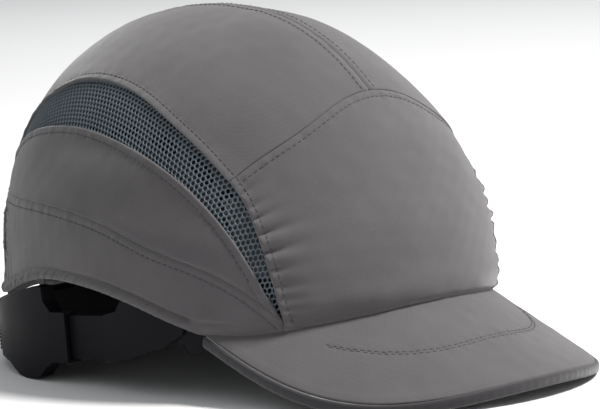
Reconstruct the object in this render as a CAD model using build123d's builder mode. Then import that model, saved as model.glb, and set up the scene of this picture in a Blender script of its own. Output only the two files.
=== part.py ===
from build123d import *
import os
from math import cos, degrees, pi, radians, sin

# Bump cap: a fabric peaked cap over a hard inner shell, with a black nape adjuster.
# Millimetres.  +Z is up, the peak points to -Y and the wearer's right is -X.
# The cap stands on its peak and on the two lobes of the nape cradle, at z = 0.

# ---------------------------------------------------------------- driving dimensions
PITCH = 5.87               # the cap stands nose-down by this angle, degrees
CAP_Y = 12.03              # the cap's own datum, from the part's origin
CAP_Z = 20.03

HALF_WIDTH = 92.0          # crown plan at its widest: half width, front and rear lengths
FRONT = 99.0
REAR = 123.0
WIDEST_Z = 27.3            # height of the widest section over the datum
CROWN_H = 100.6            # crown rise over that section
PLAN_POWER = 2.06          # superellipse power of the plan
PROFILE = ((2.24, 1.61), (1.62, 1.88), (2.09, 2.19))   # (radius, height) powers: front, side, rear
LEAN = 11.7                # the apex sits this far behind the plan's centre
LEAN_POWER = 1.9
WALL_BOTTOM = -34.0
SECTION_POINTS = 36

FABRIC = 1.2               # thicknesses and insets, from the outer face inwards
MESH_FACE = 0.4
MESH_T = 0.8
SHELL_FACE = 1.5
SHELL_T = 2.0
PAD_FACE = 3.8
PAD_T = 5.0
ARM_FACE = 3.8
ARM_T = 1.6
KEEPER_FACE = 1.6
KEEPER_T = 1.3
BAND_FACE = 6.5
BAND_T = 2.5
BAND_TOP = 52.0            # upper edge of the sweatband and of the headband, over the datum
HEADBAND_TOP = 50.0
HEADBAND_END = -54.0       # the headband's rear ends
CROWN_PAD = (56, 104, 14)  # pads: width, height and corner radius
END_PAD = (72, 22, 8)
SIDE_PAD = (84, 20, 8)
END_PAD_Z = 68.0
SIDE_PAD_AT = (8, 66)      # rearward, up
LABEL = (26, 13, 1.5)
LABEL_AT = (76, 20.5)
LABEL_T = 0.4

PEAK_TOP = 24.1            # peak's upper face on the centreline, at the crown's front
PEAK_SLOPE = 0.323         # fall per millimetre forward
PEAK_CURVE = 0.0044        # side-to-side droop: z falls by this times x squared
PEAK_LENGTH = 59.2
PEAK_HALF = 81.7
PEAK_BACK = 48.4           # the peak's ends, forward of the centre
PEAK_POWER = 0.684
PEAK_TUCK = 5.0            # how far the peak runs in under the crown
COVER_T = 0.9
BOARD_T = 2.0
BINDING_W = 1.4

TAPE_T = 0.25              # small trim
TAPE_HALF = 6.0
BINDING_FACE = 1.3
BINDING_T = 1.5
BINDING_DROP = 2.2
BINDING_RISE = 5.0
LINING_T = 1.5
PATCH_T = 1.1
PATCH_W = 122.0
PATCH_H = 18.0
PATCH_Z = 27.0
VENT_L = 16.0
VENT_W = 5.0
ARM_STUD = (-44.0, 39.5)   # rivet of the side arm and the shell, in the cap's side view
STRAP_STUD = -13.5         # rivet of the strap and the side arm, rearward in the adjuster's plane
STUD_R = 2.0
STUD_FIT = 0.05

# Nape adjuster, in its own plane that falls to the rear
ADJ_TILT = 4.03
ADJ_Z = 21.77
ADJ_Y = 9.46
ARC_Y = 33.5               # centre of the cradle's arc
STRAP_R = 83.4             # mid radius of the straps in the cradle
STRAP_T = 1.6
STRAP_H = 18.0
STRAP_FRONT = -19.0
SLOT_GAP = 0.3
CRADLE_R = 80.3            # inner face of the cradle
CHANNEL_R = 82.3
COVER_X = 87.2             # outer face of the cradle's cover, at the sides and at the rear
COVER_Y = 87.6
COVER_POWER = 2.154
COVER_WALL = 1.6
MOUTH_Y = 28.5             # front end of the cradle's wings
PINION_R = 5.0
PINION_TEETH = 10
PINION_W = 2.9
TONGUE_START = 63.0        # degrees along the arc, from the wing
TONGUE_END = 95.0
RACK_TEETH = 9
NAPE_PAD_T = 3.2
NAPE_PAD_HALF = 9.0
NAPE_PAD_SPAN = (50, 130)  # degrees along the arc
RIB_START = 44.0
RIB_END = 64.0
RIB_PROUD = 0.7
RIB_PITCH = 1.5
RIB_W = 0.9
RIBS = 13
ARM_RIVET_X = 75.9         # inner end of the side arm's rivet, and its length
ARM_RIVET_L = 3.0
RIVET_L = 5.0
RIVET_HEAD_T = 1.0
SHAFT_R = 3.0
SCREW_R = 1.1
SCREW_L = 7.0
SCREW_SEAT = 2.8           # the screw head's seat, below the knob's face
KNOB_R = 11.8
KNOB_H = 9.5
BASE_R = 12.4
BASE_T = 5.0
DETENT_R = 10.5
DETENT_T = 2.6
DETENTS = 24
FLUTES = 20
CAP_R = 6.0
CAP_T = 1.2

os.makedirs("parts", exist_ok=True)

TILT = radians(PITCH)
CAP = Plane(origin=(0, CAP_Y, CAP_Z), x_dir=(1, 0, 0), z_dir=(0, -sin(TILT), cos(TILT)))
REARWARD = (0, cos(TILT), sin(TILT))
CAP_SIDE = Plane(origin=(0, CAP_Y, CAP_Z), x_dir=REARWARD, z_dir=(1, 0, 0))
DROP = radians(ADJ_TILT)
ADJ = Plane(origin=(0, ADJ_Y, ADJ_Z), x_dir=(1, 0, 0), z_dir=(0, sin(DROP), cos(DROP)))
ADJ_REAR = Vector(0, cos(DROP), -sin(DROP))
ADJ_SIDE = Plane(origin=(0, ADJ_Y, ADJ_Z), x_dir=ADJ_REAR, z_dir=(1, 0, 0))
SIDES = (("right", -1), ("left", 1))


def arm_pin(side):
    """A plane square to the side arm's rivet, facing out on one side."""
    return Plane(CAP_SIDE.from_local_coords(Vector(*ARM_STUD, 0)), x_dir=REARWARD, z_dir=(side, 0, 0))


def strap_pin(side):
    """A plane square to the strap's rivet, facing out on one side."""
    return Plane(ADJ_SIDE.from_local_coords(Vector(STRAP_STUD, 0, 0)), x_dir=ADJ_REAR, z_dir=(side, 0, 0))


def save(builder, label):
    """Label a finished sub-part and write it to its own file."""
    builder.part.label = label
    export_step(builder.part, f"parts/{label}.step")


# ---------------------------------------------------------------- crown surface
def plan_point(angle, inset):
    """Plan point of the widest section; angle 0 is the front, inset moves it inwards."""
    side, ahead = sin(angle), cos(angle)
    length = FRONT if ahead > 0 else REAR
    scale = (abs(side) ** PLAN_POWER + abs(ahead) ** PLAN_POWER) ** (-1 / PLAN_POWER)
    return -(HALF_WIDTH - inset) * side * scale, -(length - inset) * ahead * scale


def crown_section(height, inset):
    """Points of the closed crown section at a height over the datum."""
    rise = max(0.0, (height - WIDEST_Z) / (CROWN_H - inset))
    points = []
    for step in range(SECTION_POINTS):
        angle = 2 * pi * step / SECTION_POINTS
        ends = cos(angle) ** 2
        along = PROFILE[0] if cos(angle) > 0 else PROFILE[2]
        radius_power = ends * along[0] + (1 - ends) * PROFILE[1][0]
        height_power = ends * along[1] + (1 - ends) * PROFILE[1][1]
        shrink = (1 - rise ** height_power) ** (1 / radius_power)
        x, y = plan_point(angle, inset)
        points.append((x * shrink, y * shrink + LEAN * rise ** LEAN_POWER))
    return points


def dome(inset):
    """The solid inside the crown surface, moved inwards by inset."""
    heights = [WALL_BOTTOM + step * (WIDEST_Z - WALL_BOTTOM) / 5 for step in range(5)]
    heights += [WIDEST_Z + (CROWN_H - inset) * sin(radians(turn)) for turn in range(0, 90, 9)]
    with BuildPart() as solid:
        for height in heights:
            with BuildSketch(CAP.offset(height)):
                with BuildLine():
                    Spline(*crown_section(height, inset), periodic=True)
                make_face()
        loft()
    return solid.part


def skin(face, thickness):
    """A layer of the crown: its outer face lies at inset face."""
    with BuildPart() as layer:
        add(dome(face))
        add(dome(face + thickness), mode=Mode.SUBTRACT)
    return layer.part


# ---------------------------------------------------------------- seam lines, in the cap's side view
# Each is a list of (rearward, up) points on the cap's own datum; the same line serves both sides.
MESH_FRONT = [(-73.8, 19), (-69.3, 36), (-61.2, 53.2), (-51.4, 66.3), (-45.6, 71.3)]
MESH_ROOF = [(-45.6, 71.3), (-33.5, 79), (-14, 88), (14, 96.3), (38, 98.4), (59, 95.2), (77, 87), (93, 74),
             (104, 54)]
MESH_FLOOR = [(-73.8, 19), (-67, 32.5), (-58, 46), (-46, 57.8), (-30, 68), (-11, 75.3), (14, 79.9),
              (40, 80.6), (63, 76.8), (85, 68.5), (104, 54)]
FRONT_SEAM = [(-45.6, 71.3), (-49.4, 77.7), (-52.7, 83), (-55.7, 88.3), (-57.3, 96.8), (-56.5, 102.6),
              (-54, 118)]
REAR_SEAM = [(104, 54), (150, 49.5)]
BAND_SEAM = [(-73.8, 19), (-68.6, 24.9), (-56, 33.9), (-40, 39.5), (-23.6, 42.8), (-4, 47.2), (20, 49.6),
             (48, 48.8), (82, 44.9), (150, 40)]
HEM = [(-60, 6), (-48, 11.4), (-36, 14.8), (-19.6, 19), (0, 21.8), (22, 21.8), (42, 18.9), (60, 12.6),
       (76, 5.6), (92, 0.6), (110, -1.6), (150, -2)]
SHELL_RIM = [(-150, 36), (10, 36), (60, 33), (150, 28)]
REACH = 130.0


def shifted(points, rise):
    """The same seam line, moved up or down."""
    return [(y, z + rise) for y, z in points]


def draw(points):
    """Draw a seam line: straight between two points, smooth through more."""
    if len(points) == 2:
        return Line(*points)
    return Spline(*points)


def below_peak(offset, depth):
    """The space under the peak's upper face lowered by offset, depth deep, from the peak's ends forward."""
    start = PEAK_TOP + PEAK_SLOPE * (FRONT - PEAK_BACK) - offset
    half = 110.0
    droop = PEAK_CURVE * half ** 2
    origin = CAP.from_local_coords(Vector(0, -PEAK_BACK, start))
    ahead = CAP.from_local_coords(Vector(0, -PEAK_BACK - 1, start - PEAK_SLOPE)) - origin
    forward = CAP.from_local_coords(Vector(0, -1, 0)) - CAP.origin
    with BuildPart() as space:
        with BuildSketch(Plane(origin=origin, x_dir=(1, 0, 0), z_dir=forward)):
            with BuildLine():
                Bezier((-half, -droop), (0, droop), (half, -droop))
                Line((half, -droop), (half, -droop - depth))
                Bezier((half, -droop - depth), (0, droop - depth), (-half, -droop - depth))
                Line((-half, -droop - depth), (-half, -droop))
            make_face()
        extrude(amount=PEAK_LENGTH + FRONT, dir=ahead)
    return space.part


FABRIC_SKIN = skin(0.0, FABRIC)
UNDER_PEAK = below_peak(0.0, 80.0)
ABOVE_HEADBAND = below_peak(-1.5, 80.0)

# ---------------------------------------------------------------- fabric panels
with BuildPart() as front_panel:
    add(FABRIC_SKIN)
    with BuildSketch(CAP_SIDE):
        with BuildLine():
            draw(MESH_FRONT)
            draw(FRONT_SEAM)
            Polyline(FRONT_SEAM[-1], (-150, 118), (-150, -40), (MESH_FRONT[0][0], -40), MESH_FRONT[0])
        make_face()
    extrude(amount=REACH, both=True, mode=Mode.INTERSECT)
    add(UNDER_PEAK, mode=Mode.SUBTRACT)
save(front_panel, "front_panel")

for name, side in SIDES:
    with BuildPart() as crown_panel:
        add(FABRIC_SKIN)
        with BuildSketch(CAP_SIDE):
            with BuildLine():
                draw(FRONT_SEAM)
                draw(MESH_ROOF)
                draw(REAR_SEAM)
                Polyline(REAR_SEAM[-1], (150, 150), (FRONT_SEAM[-1][0], 150), FRONT_SEAM[-1])
            make_face()
        extrude(amount=REACH * side, mode=Mode.INTERSECT)
    save(crown_panel, f"{name}_crown_panel")

    with BuildPart() as side_panel:
        add(FABRIC_SKIN)
        with BuildSketch(CAP_SIDE):
            with BuildLine():
                draw(MESH_FLOOR)
                draw(REAR_SEAM)
                Line(REAR_SEAM[-1], BAND_SEAM[-1])
                draw(BAND_SEAM)
            make_face()
        extrude(amount=REACH * side, mode=Mode.INTERSECT)
    save(side_panel, f"{name}_side_panel")

    with BuildPart() as lower_band:
        add(FABRIC_SKIN)
        with BuildSketch(CAP_SIDE):
            with BuildLine():
                draw(BAND_SEAM)
                Line(BAND_SEAM[-1], HEM[-1])
                draw(HEM)
                Polyline(HEM[0], (BAND_SEAM[0][0], HEM[0][1]), BAND_SEAM[0])
            make_face()
        extrude(amount=REACH * side, mode=Mode.INTERSECT)
        add(UNDER_PEAK, mode=Mode.SUBTRACT)
    save(lower_band, f"{name}_lower_band")

    with BuildPart() as mesh_panel:
        add(dome(MESH_FACE))
        add(dome(MESH_FACE + MESH_T), mode=Mode.SUBTRACT)
        with BuildSketch(CAP_SIDE):
            with BuildLine():
                draw(MESH_FRONT)
                draw(MESH_ROOF)
                draw(MESH_FLOOR)
            make_face()
        extrude(amount=REACH * side, mode=Mode.INTERSECT)
    save(mesh_panel, f"{name}_mesh_panel")

# ---------------------------------------------------------------- seam tape, rear binding, lining and patch
with BuildPart() as seam_tape:
    add(dome(FABRIC))
    add(dome(FABRIC + TAPE_T), mode=Mode.SUBTRACT)
    with BuildSketch(CAP_SIDE):
        with BuildLine():
            Polyline((-55, 88), (-55, 150), (140, 150), (140, 62), (80, 62), (-55, 88))
        make_face()
    extrude(amount=TAPE_HALF, both=True, mode=Mode.INTERSECT)
save(seam_tape, "seam_tape")

with BuildPart() as rear_binding:
    add(dome(BINDING_FACE))
    add(dome(BINDING_FACE + BINDING_T), mode=Mode.SUBTRACT)
    with BuildSketch(CAP_SIDE):
        with BuildLine():
            draw(shifted(HEM[6:], -BINDING_DROP))
            Line((HEM[-1][0], HEM[-1][1] - BINDING_DROP), (HEM[-1][0], HEM[-1][1] + BINDING_RISE))
            draw(shifted(HEM[6:], BINDING_RISE))
            Line((HEM[6][0], HEM[6][1] + BINDING_RISE), (HEM[6][0], HEM[6][1] - BINDING_DROP))
        make_face()
    extrude(amount=REACH, both=True, mode=Mode.INTERSECT)
save(rear_binding, "rear_binding")

with BuildPart() as rear_lining:
    add(dome(SHELL_FACE))
    add(dome(SHELL_FACE + LINING_T), mode=Mode.SUBTRACT)
    with BuildSketch(CAP_SIDE):
        with BuildLine():
            draw(shifted(HEM[6:], BINDING_RISE + 0.3))
            Polyline((HEM[-1][0], HEM[-1][1] + BINDING_RISE + 0.3), (150, 25), (60, 30.5),
                     (HEM[6][0], 31), (HEM[6][0], HEM[6][1] + BINDING_RISE + 0.3))
        make_face()
    extrude(amount=REACH, both=True, mode=Mode.INTERSECT)
save(rear_lining, "rear_lining")

with BuildPart() as rear_patch:
    add(dome(-PATCH_T))
    add(dome(0.0), mode=Mode.SUBTRACT)
    with BuildSketch(Plane(CAP.origin, x_dir=(-1, 0, 0), z_dir=REARWARD)):
        with Locations((0, PATCH_Z)):
            RectangleRounded(PATCH_W, PATCH_H, 2.0)
    extrude(amount=REACH, dir=REARWARD, mode=Mode.INTERSECT)
save(rear_patch, "rear_patch")

# ---------------------------------------------------------------- hard shell
with BuildPart() as inner_shell:
    add(dome(SHELL_FACE))
    add(dome(SHELL_FACE + SHELL_T), mode=Mode.SUBTRACT)
    with BuildSketch(CAP_SIDE):
        with BuildLine():
            Polyline(*SHELL_RIM, (150, 150), (-150, 150), SHELL_RIM[0])
        make_face()
    extrude(amount=REACH, both=True, mode=Mode.INTERSECT)
    with BuildSketch(CAP_SIDE):
        for row, drop in enumerate((0.0, 12.0)):
            for step in range(5):
                turn = 150 - 22 * step - 8 * row
                centre = (6 + 62 * cos(radians(turn)), 40 + 43 * sin(radians(turn)) - drop)
                with Locations(Location((*centre, 0), (0, 0, turn - 90))):
                    SlotOverall(VENT_L, VENT_W)
    extrude(amount=REACH, both=True, mode=Mode.SUBTRACT)
    with BuildSketch(CAP.offset(90)):
        for x in (-34, 34):
            for y in (-14, 8, 30):
                with Locations(Location((x, y, 0), (0, 0, 90))):
                    SlotOverall(VENT_L, VENT_W)
    extrude(amount=60, mode=Mode.SUBTRACT)
    with Locations(arm_pin(1)):
        Cylinder(STUD_R + STUD_FIT, 2 * REACH, mode=Mode.SUBTRACT)
save(inner_shell, "inner_shell")

# ---------------------------------------------------------------- peak
def peak_outline(inset):
    """The peak's plan, its outer edge moved inwards by inset; the rear edge is under the crown."""
    outer = []
    for step in range(0, 181, 12):
        turn = radians(step - 90)
        ahead = (FRONT + PEAK_LENGTH - inset - PEAK_BACK) * abs(cos(turn)) ** PEAK_POWER
        outer.append(((PEAK_HALF - inset) * sin(turn), -PEAK_BACK - ahead))
    inner = []
    for step in range(-4, 5):
        x, y = plan_point(step * radians(58) / 4, PEAK_TUCK)
        inner.append((x, y))
    with BuildSketch(CAP.offset(-60)) as outline:
        with BuildLine():
            Spline(*outer)
            Spline(*inner)
            Line(inner[0], outer[-1])
            Line(inner[-1], outer[0])
        make_face()
    return outline.sketch


PEAK_T = 2 * COVER_T + BOARD_T
LAYERS = (("peak_top_cover", 0.0, COVER_T), ("peak_board", COVER_T, BOARD_T),
          ("peak_under_cover", COVER_T + BOARD_T, COVER_T))
for label, depth, thickness in LAYERS:
    with BuildPart() as peak_layer:
        add(below_peak(depth, thickness))
        extrude(peak_outline(BINDING_W), amount=150, dir=CAP.z_dir, mode=Mode.INTERSECT)
    save(peak_layer, label)

with BuildPart() as peak_binding:
    add(below_peak(0.0, PEAK_T))
    extrude(peak_outline(0.0), amount=150, dir=CAP.z_dir, mode=Mode.INTERSECT)
    extrude(peak_outline(BINDING_W), amount=150, dir=CAP.z_dir, mode=Mode.SUBTRACT)
save(peak_binding, "peak_binding")

# ---------------------------------------------------------------- foam pads, headband and sweatband
PAD_SKIN = skin(PAD_FACE, PAD_T)

with BuildPart() as crown_pad:
    add(PAD_SKIN)
    with BuildSketch(CAP.offset(70)):
        with Locations((0, 8)):
            RectangleRounded(*CROWN_PAD)
    extrude(amount=80, mode=Mode.INTERSECT)
save(crown_pad, "crown_pad")

for label, facing in (("front_pad", -1), ("rear_pad", 1)):
    ahead = tuple(facing * part for part in REARWARD)
    with BuildPart() as end_pad:
        add(PAD_SKIN)
        with BuildSketch(Plane(CAP.origin, x_dir=(-facing, 0, 0), z_dir=ahead)):
            with Locations((0, END_PAD_Z)):
                RectangleRounded(*END_PAD)
        extrude(amount=REACH, dir=ahead, mode=Mode.INTERSECT)
    save(end_pad, label)

for name, side in SIDES:
    with BuildPart() as side_pad:
        add(PAD_SKIN)
        with BuildSketch(CAP_SIDE):
            with Locations(SIDE_PAD_AT):
                RectangleRounded(*SIDE_PAD)
        extrude(amount=REACH * side, mode=Mode.INTERSECT)
    save(side_pad, f"{name}_pad")

with BuildPart() as headband:
    add(dome(PAD_FACE))
    add(dome(BAND_FACE - 0.3), mode=Mode.SUBTRACT)
    with BuildSketch(CAP_SIDE):
        with BuildLine():
            Polyline((-150, -20), (HEADBAND_END, -20), (HEADBAND_END, HEADBAND_TOP), (-150, HEADBAND_TOP),
                     (-150, -20))
        make_face()
    extrude(amount=REACH, both=True, mode=Mode.INTERSECT)
    add(ABOVE_HEADBAND, mode=Mode.SUBTRACT)
save(headband, "headband")

with BuildPart() as sweatband:
    add(dome(BAND_FACE))
    add(dome(BAND_FACE + BAND_T), mode=Mode.SUBTRACT)
    with BuildSketch(CAP_SIDE):
        with BuildLine():
            draw(shifted(HEM[:7], 2.5))
            Polyline((HEM[6][0], HEM[6][1] + 2.5), (HEM[6][0], BAND_TOP), (-150, BAND_TOP),
                     (-150, HEM[0][1] + 2.5), (HEM[0][0], HEM[0][1] + 2.5))
        make_face()
    extrude(amount=REACH, both=True, mode=Mode.INTERSECT)
    add(ABOVE_HEADBAND, mode=Mode.SUBTRACT)
save(sweatband, "sweatband")

with BuildPart() as size_label:
    add(dome(SHELL_FACE + LINING_T))
    add(dome(SHELL_FACE + LINING_T + LABEL_T), mode=Mode.SUBTRACT)
    with BuildSketch(CAP_SIDE):
        with Locations(LABEL_AT):
            RectangleRounded(*LABEL)
    extrude(amount=REACH, mode=Mode.INTERSECT)
save(size_label, "size_label")

# ---------------------------------------------------------------- side arms, fixed to the cap
ARM_OUTLINE = [(-40.5, 2.4), (-51, 6.8), (-50.5, 8.8), (-47.6, 9.6), (-47.6, 44), (-38, 44), (-30, 33),
               (-22, 23), (-12.7, 17.6), (-3.8, 13.9), (3.2, 11.2), (0.8, -8.3), (-12.6, -4.0),
               (-27.7, 3.4), (-36.2, 7.9)]
KEEPER_OUTLINE = [(-6.6, 15.5), (-15.8, -2.4), (-30.5, 4.1), (-38.4, 10.6), (-40, 30), (-14, 30)]

for name, side in SIDES:
    with BuildPart() as side_arm:
        add(dome(ARM_FACE))
        add(dome(ARM_FACE + ARM_T), mode=Mode.SUBTRACT)
        with BuildSketch(CAP_SIDE):
            with BuildLine():
                Polyline(*ARM_OUTLINE, close=True)
            make_face()
        extrude(amount=REACH * side, mode=Mode.INTERSECT)
        with Locations(arm_pin(1)):
            Cylinder(STUD_R + STUD_FIT, 2 * REACH, mode=Mode.SUBTRACT)
        with Locations(strap_pin(1)):
            Cylinder(STUD_R + STUD_FIT, 2 * REACH, mode=Mode.SUBTRACT)
    save(side_arm, f"{name}_side_arm")

    with BuildPart() as arm_keeper:
        add(dome(KEEPER_FACE))
        add(dome(KEEPER_FACE + KEEPER_T), mode=Mode.SUBTRACT)
        with BuildSketch(CAP_SIDE):
            with BuildLine():
                Polyline(*KEEPER_OUTLINE, close=True)
            make_face()
        extrude(amount=REACH * side, mode=Mode.INTERSECT)
    save(arm_keeper, f"{name}_arm_keeper")

# ---------------------------------------------------------------- nape adjuster
def adj_point(x, y, z):
    """A point given in the adjuster's own plane."""
    return ADJ.from_local_coords(Vector(x, y, z))


def rear_face(rearward):
    """A sketch plane square to the knob's axis, at a distance rearward in the adjuster's plane."""
    return Plane(adj_point(0, rearward, 0), x_dir=(1, 0, 0), z_dir=ADJ_REAR)


def wing_curve(inset):
    """Plan of the cradle's cover, from the right wing round the nape to the left wing."""
    points = []
    for step in range(0, 181, 15):
        turn = radians(step)
        x = abs(cos(turn)) ** (2 / COVER_POWER) * (COVER_X - inset)
        y = sin(turn) ** (2 / COVER_POWER) * (COVER_Y - inset)
        points.append((-x if step < 90 else x, ARC_Y + y))
    return points


def cover_plan(inset, height=0.0):
    """Closed plan face inside the cover, moved inwards by inset, out to the wings' mouths."""
    curve = wing_curve(inset)
    with BuildSketch(ADJ.offset(height)) as plan:
        with BuildLine():
            Spline(*curve, tangents=((0, 1), (0, -1)))
            Polyline(curve[-1], (curve[-1][0], MOUTH_Y), (curve[0][0], MOUTH_Y), curve[0])
        make_face()
    return plan.sketch


def arc_plan(radius):
    """Closed plan face inside an arc about the cradle's centre, out to the wings' mouths."""
    with BuildSketch(ADJ) as plan:
        with BuildLine():
            CenterArc((0, ARC_Y), radius, 0, 180)
            Polyline((-radius, ARC_Y), (-radius, MOUTH_Y), (radius, MOUTH_Y), (radius, ARC_Y))
        make_face()
    return plan.sketch


def arc_band(inner, outer, start, end, height=0.0):
    """Plan face between two arcs about the cradle's centre, from one angle to another."""
    with BuildSketch(ADJ.offset(height)) as plan:
        with BuildLine():
            far = CenterArc((0, ARC_Y), outer, start, end - start)
            near = CenterArc((0, ARC_Y), inner, start, end - start)
            Line(far @ 0, near @ 0)
            Line(far @ 1, near @ 1)
        make_face()
    return plan.sketch


def grip_rib(start):
    """One grip rib on the cover's outside, from a start angle, across the adjuster's plane."""
    low = -RIB_W / 2
    with BuildPart() as bar:
        extrude(cover_plan(-RIB_PROUD, low), amount=RIB_W)
        extrude(cover_plan(RIB_PROUD, low), amount=RIB_W, mode=Mode.SUBTRACT)
        sector = arc_band(CRADLE_R, COVER_Y + 20, start, start + RIB_END - RIB_START, low)
        extrude(sector, amount=RIB_W, mode=Mode.INTERSECT)
    return bar.part


CRADLE_TOP = [(MOUTH_Y, 10.4), (37, 10.4), (41.2, 14.9), (41.6, 20.6), (47, 21), (57, 19), (64, 17.4),
              (72, 15), (80, 13), (90, 11.6), (150, 11)]
CRADLE_FOOT = [(150, -11), (84, -11), (75, -12), (64.3, -16.6), (58, -17.74), (52, -17.6), (47.8, -16.6),
               (42.6, -12.6), (38, -10.4), (MOUTH_Y, -10.4)]
CRADLE_H = 24.0

with BuildPart() as cradle_cover:
    extrude(cover_plan(0.0), amount=CRADLE_H, both=True)
    extrude(cover_plan(COVER_WALL), amount=CRADLE_H, both=True, mode=Mode.SUBTRACT)
    with BuildSketch(ADJ_SIDE):
        with BuildLine():
            Polyline(*CRADLE_TOP, *CRADLE_FOOT, close=True)
        make_face()
    extrude(amount=REACH, both=True, mode=Mode.INTERSECT)
    with Locations(rear_face(ARC_Y + COVER_Y)):
        Cylinder(SHAFT_R + STUD_FIT, 4 * COVER_WALL, mode=Mode.SUBTRACT)
    with Locations(*[ADJ.z_dir * (RIB_PITCH * (step - RIBS / 2 + 0.5)) for step in range(RIBS)]):
        add(grip_rib(RIB_START))
        add(grip_rib(180 - RIB_END))
save(cradle_cover, "cradle_cover")

with BuildPart() as cradle:
    extrude(cover_plan(COVER_WALL), amount=CRADLE_H, both=True)
    extrude(cover_plan(COVER_WALL), amount=STRAP_H / 2 + SLOT_GAP, both=True, mode=Mode.SUBTRACT)
    extrude(arc_plan(CHANNEL_R), amount=STRAP_H / 2 + SLOT_GAP, both=True)
    extrude(arc_plan(CRADLE_R), amount=CRADLE_H, both=True, mode=Mode.SUBTRACT)
    with BuildSketch(ADJ_SIDE):
        with BuildLine():
            Polyline(*CRADLE_TOP, *CRADLE_FOOT, close=True)
        make_face()
    extrude(amount=REACH, both=True, mode=Mode.INTERSECT)
    with Locations(rear_face(ARC_Y + CRADLE_R)):
        Cylinder(SHAFT_R + STUD_FIT, 3 * (CHANNEL_R - CRADLE_R), mode=Mode.SUBTRACT)
save(cradle, "cradle")

with BuildPart() as nape_pad:
    pad_back = CRADLE_R - SLOT_GAP
    extrude(arc_band(pad_back - NAPE_PAD_T, pad_back, *NAPE_PAD_SPAN), amount=NAPE_PAD_HALF, both=True)
    fillet(nape_pad.edges().filter_by(Axis(ADJ.origin, ADJ.z_dir)), 1.2)
save(nape_pad, "nape_pad")

# Straps: the length that shows is fixed to the side arm, and a toothed length runs in the cradle
TOOTH = 2 * pi * PINION_R / PINION_TEETH
TOOTH_TURN = degrees(TOOTH / STRAP_R)
TIP = PINION_R - 1.0
ROOT = PINION_R + 1.3
STRAP_HEEL = [(1.5, -9), (-9, -6.8), (-20, -3.6), (-20, -12), (1.5, -12)]   # cut from the strap's front end
BAND_IN = STRAP_R - STRAP_T / 2
BAND_OUT = STRAP_R + STRAP_T / 2

for name, side in SIDES:
    with BuildPart() as strap:
        with BuildSketch(ADJ):
            with Locations((side * STRAP_R, (STRAP_FRONT + ARC_Y - SLOT_GAP) / 2)):
                Rectangle(STRAP_T, ARC_Y - SLOT_GAP - STRAP_FRONT)
        extrude(amount=STRAP_H / 2, both=True)
        with BuildSketch(ADJ_SIDE):
            with BuildLine():
                Polyline(*STRAP_HEEL, close=True)
            make_face()
        extrude(amount=REACH, both=True, mode=Mode.SUBTRACT)
        with Locations(strap_pin(1)):
            Cylinder(STUD_R + STUD_FIT, 2 * REACH, mode=Mode.SUBTRACT)
    save(strap, f"{name}_strap")

    # The left rack's tongue is the upper one, with teeth down; the right one is below, teeth up
    start = 0 if side > 0 else 180
    full_end = start + side * TONGUE_START
    tongue_end = start + side * TONGUE_END
    with BuildPart() as rack:
        extrude(arc_band(BAND_IN, BAND_OUT, start, full_end), amount=STRAP_H / 2, both=True)
        tongue = arc_band(BAND_IN, BAND_OUT, full_end - side, tongue_end, side * ROOT)
        extrude(tongue, amount=side * (STRAP_H / 2 - ROOT))
        for step in range(RACK_TEETH):
            along = radians(90 + side * TOOTH_TURN * (1.5 - step))
            out = Vector(cos(along), 0, 0) + ADJ_REAR * sin(along)
            foot = adj_point(BAND_IN * cos(along), ARC_Y + BAND_IN * sin(along), 0)
            with BuildSketch(Plane(foot, x_dir=ADJ.z_dir * side, z_dir=out)):
                with BuildLine():
                    Polyline((ROOT + 0.5, 0.85), (TIP, 0.4), (TIP, -0.4), (ROOT + 0.5, -0.85), close=True)
                make_face()
            extrude(amount=STRAP_T)
    save(rack, f"{name}_rack")

    with BuildPart() as strap_rivet:
        with Locations(strap_pin(side)):
            with Locations((0, 0, BAND_IN - 1.2)):
                Cylinder(STUD_R, RIVET_L, align=(Align.CENTER, Align.CENTER, Align.MIN))
                Cylinder(2 * STUD_R, RIVET_HEAD_T, align=(Align.CENTER, Align.CENTER, Align.MIN))
    save(strap_rivet, f"{name}_strap_rivet")

    with BuildPart() as arm_rivet:
        with Locations(arm_pin(side)):
            with Locations((0, 0, ARM_RIVET_X)):
                Cylinder(STUD_R, ARM_RIVET_L, align=(Align.CENTER, Align.CENTER, Align.MIN))
    save(arm_rivet, f"{name}_arm_rivet")

# ---------------------------------------------------------------- ratchet at the nape
with BuildPart() as ratchet_base:
    with BuildSketch(rear_face(ARC_Y + COVER_Y - 2)):
        Circle(BASE_R)
    extrude(amount=BASE_T + 2)
    extrude(cover_plan(0.0), amount=CRADLE_H, both=True, mode=Mode.SUBTRACT)
    with Locations(rear_face(ARC_Y + COVER_Y)):
        Cylinder(SHAFT_R + STUD_FIT, 4 * BASE_T, mode=Mode.SUBTRACT)
    with BuildSketch(rear_face(ARC_Y + COVER_Y + BASE_T)):
        Circle(DETENT_R)
    extrude(amount=-DETENT_T, mode=Mode.SUBTRACT)
    fillet(ratchet_base.edges().group_by(Axis(ADJ.origin, ADJ_REAR))[-1].sort_by(SortBy.RADIUS)[-1], 0.8)
save(ratchet_base, "ratchet_base")

with BuildPart() as detent_ring:
    with BuildSketch(rear_face(ARC_Y + COVER_Y + BASE_T)):
        Circle(DETENT_R)
        Circle(DETENT_R - 1.2, mode=Mode.SUBTRACT)
        with PolarLocations(DETENT_R - 1.2, DETENTS):
            Circle(0.5, mode=Mode.SUBTRACT)
    extrude(amount=-DETENT_T + 0.2)
save(detent_ring, "detent_ring")

with BuildPart() as detent_spring:
    with BuildSketch(rear_face(ARC_Y + COVER_Y + BASE_T - 0.4)):
        SlotOverall(2 * (DETENT_R - 1.5), 3.0)
        Circle(SHAFT_R + 1.6)
        Circle(SHAFT_R + STUD_FIT, mode=Mode.SUBTRACT)
    extrude(amount=-1.6)
save(detent_spring, "detent_spring")

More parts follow.
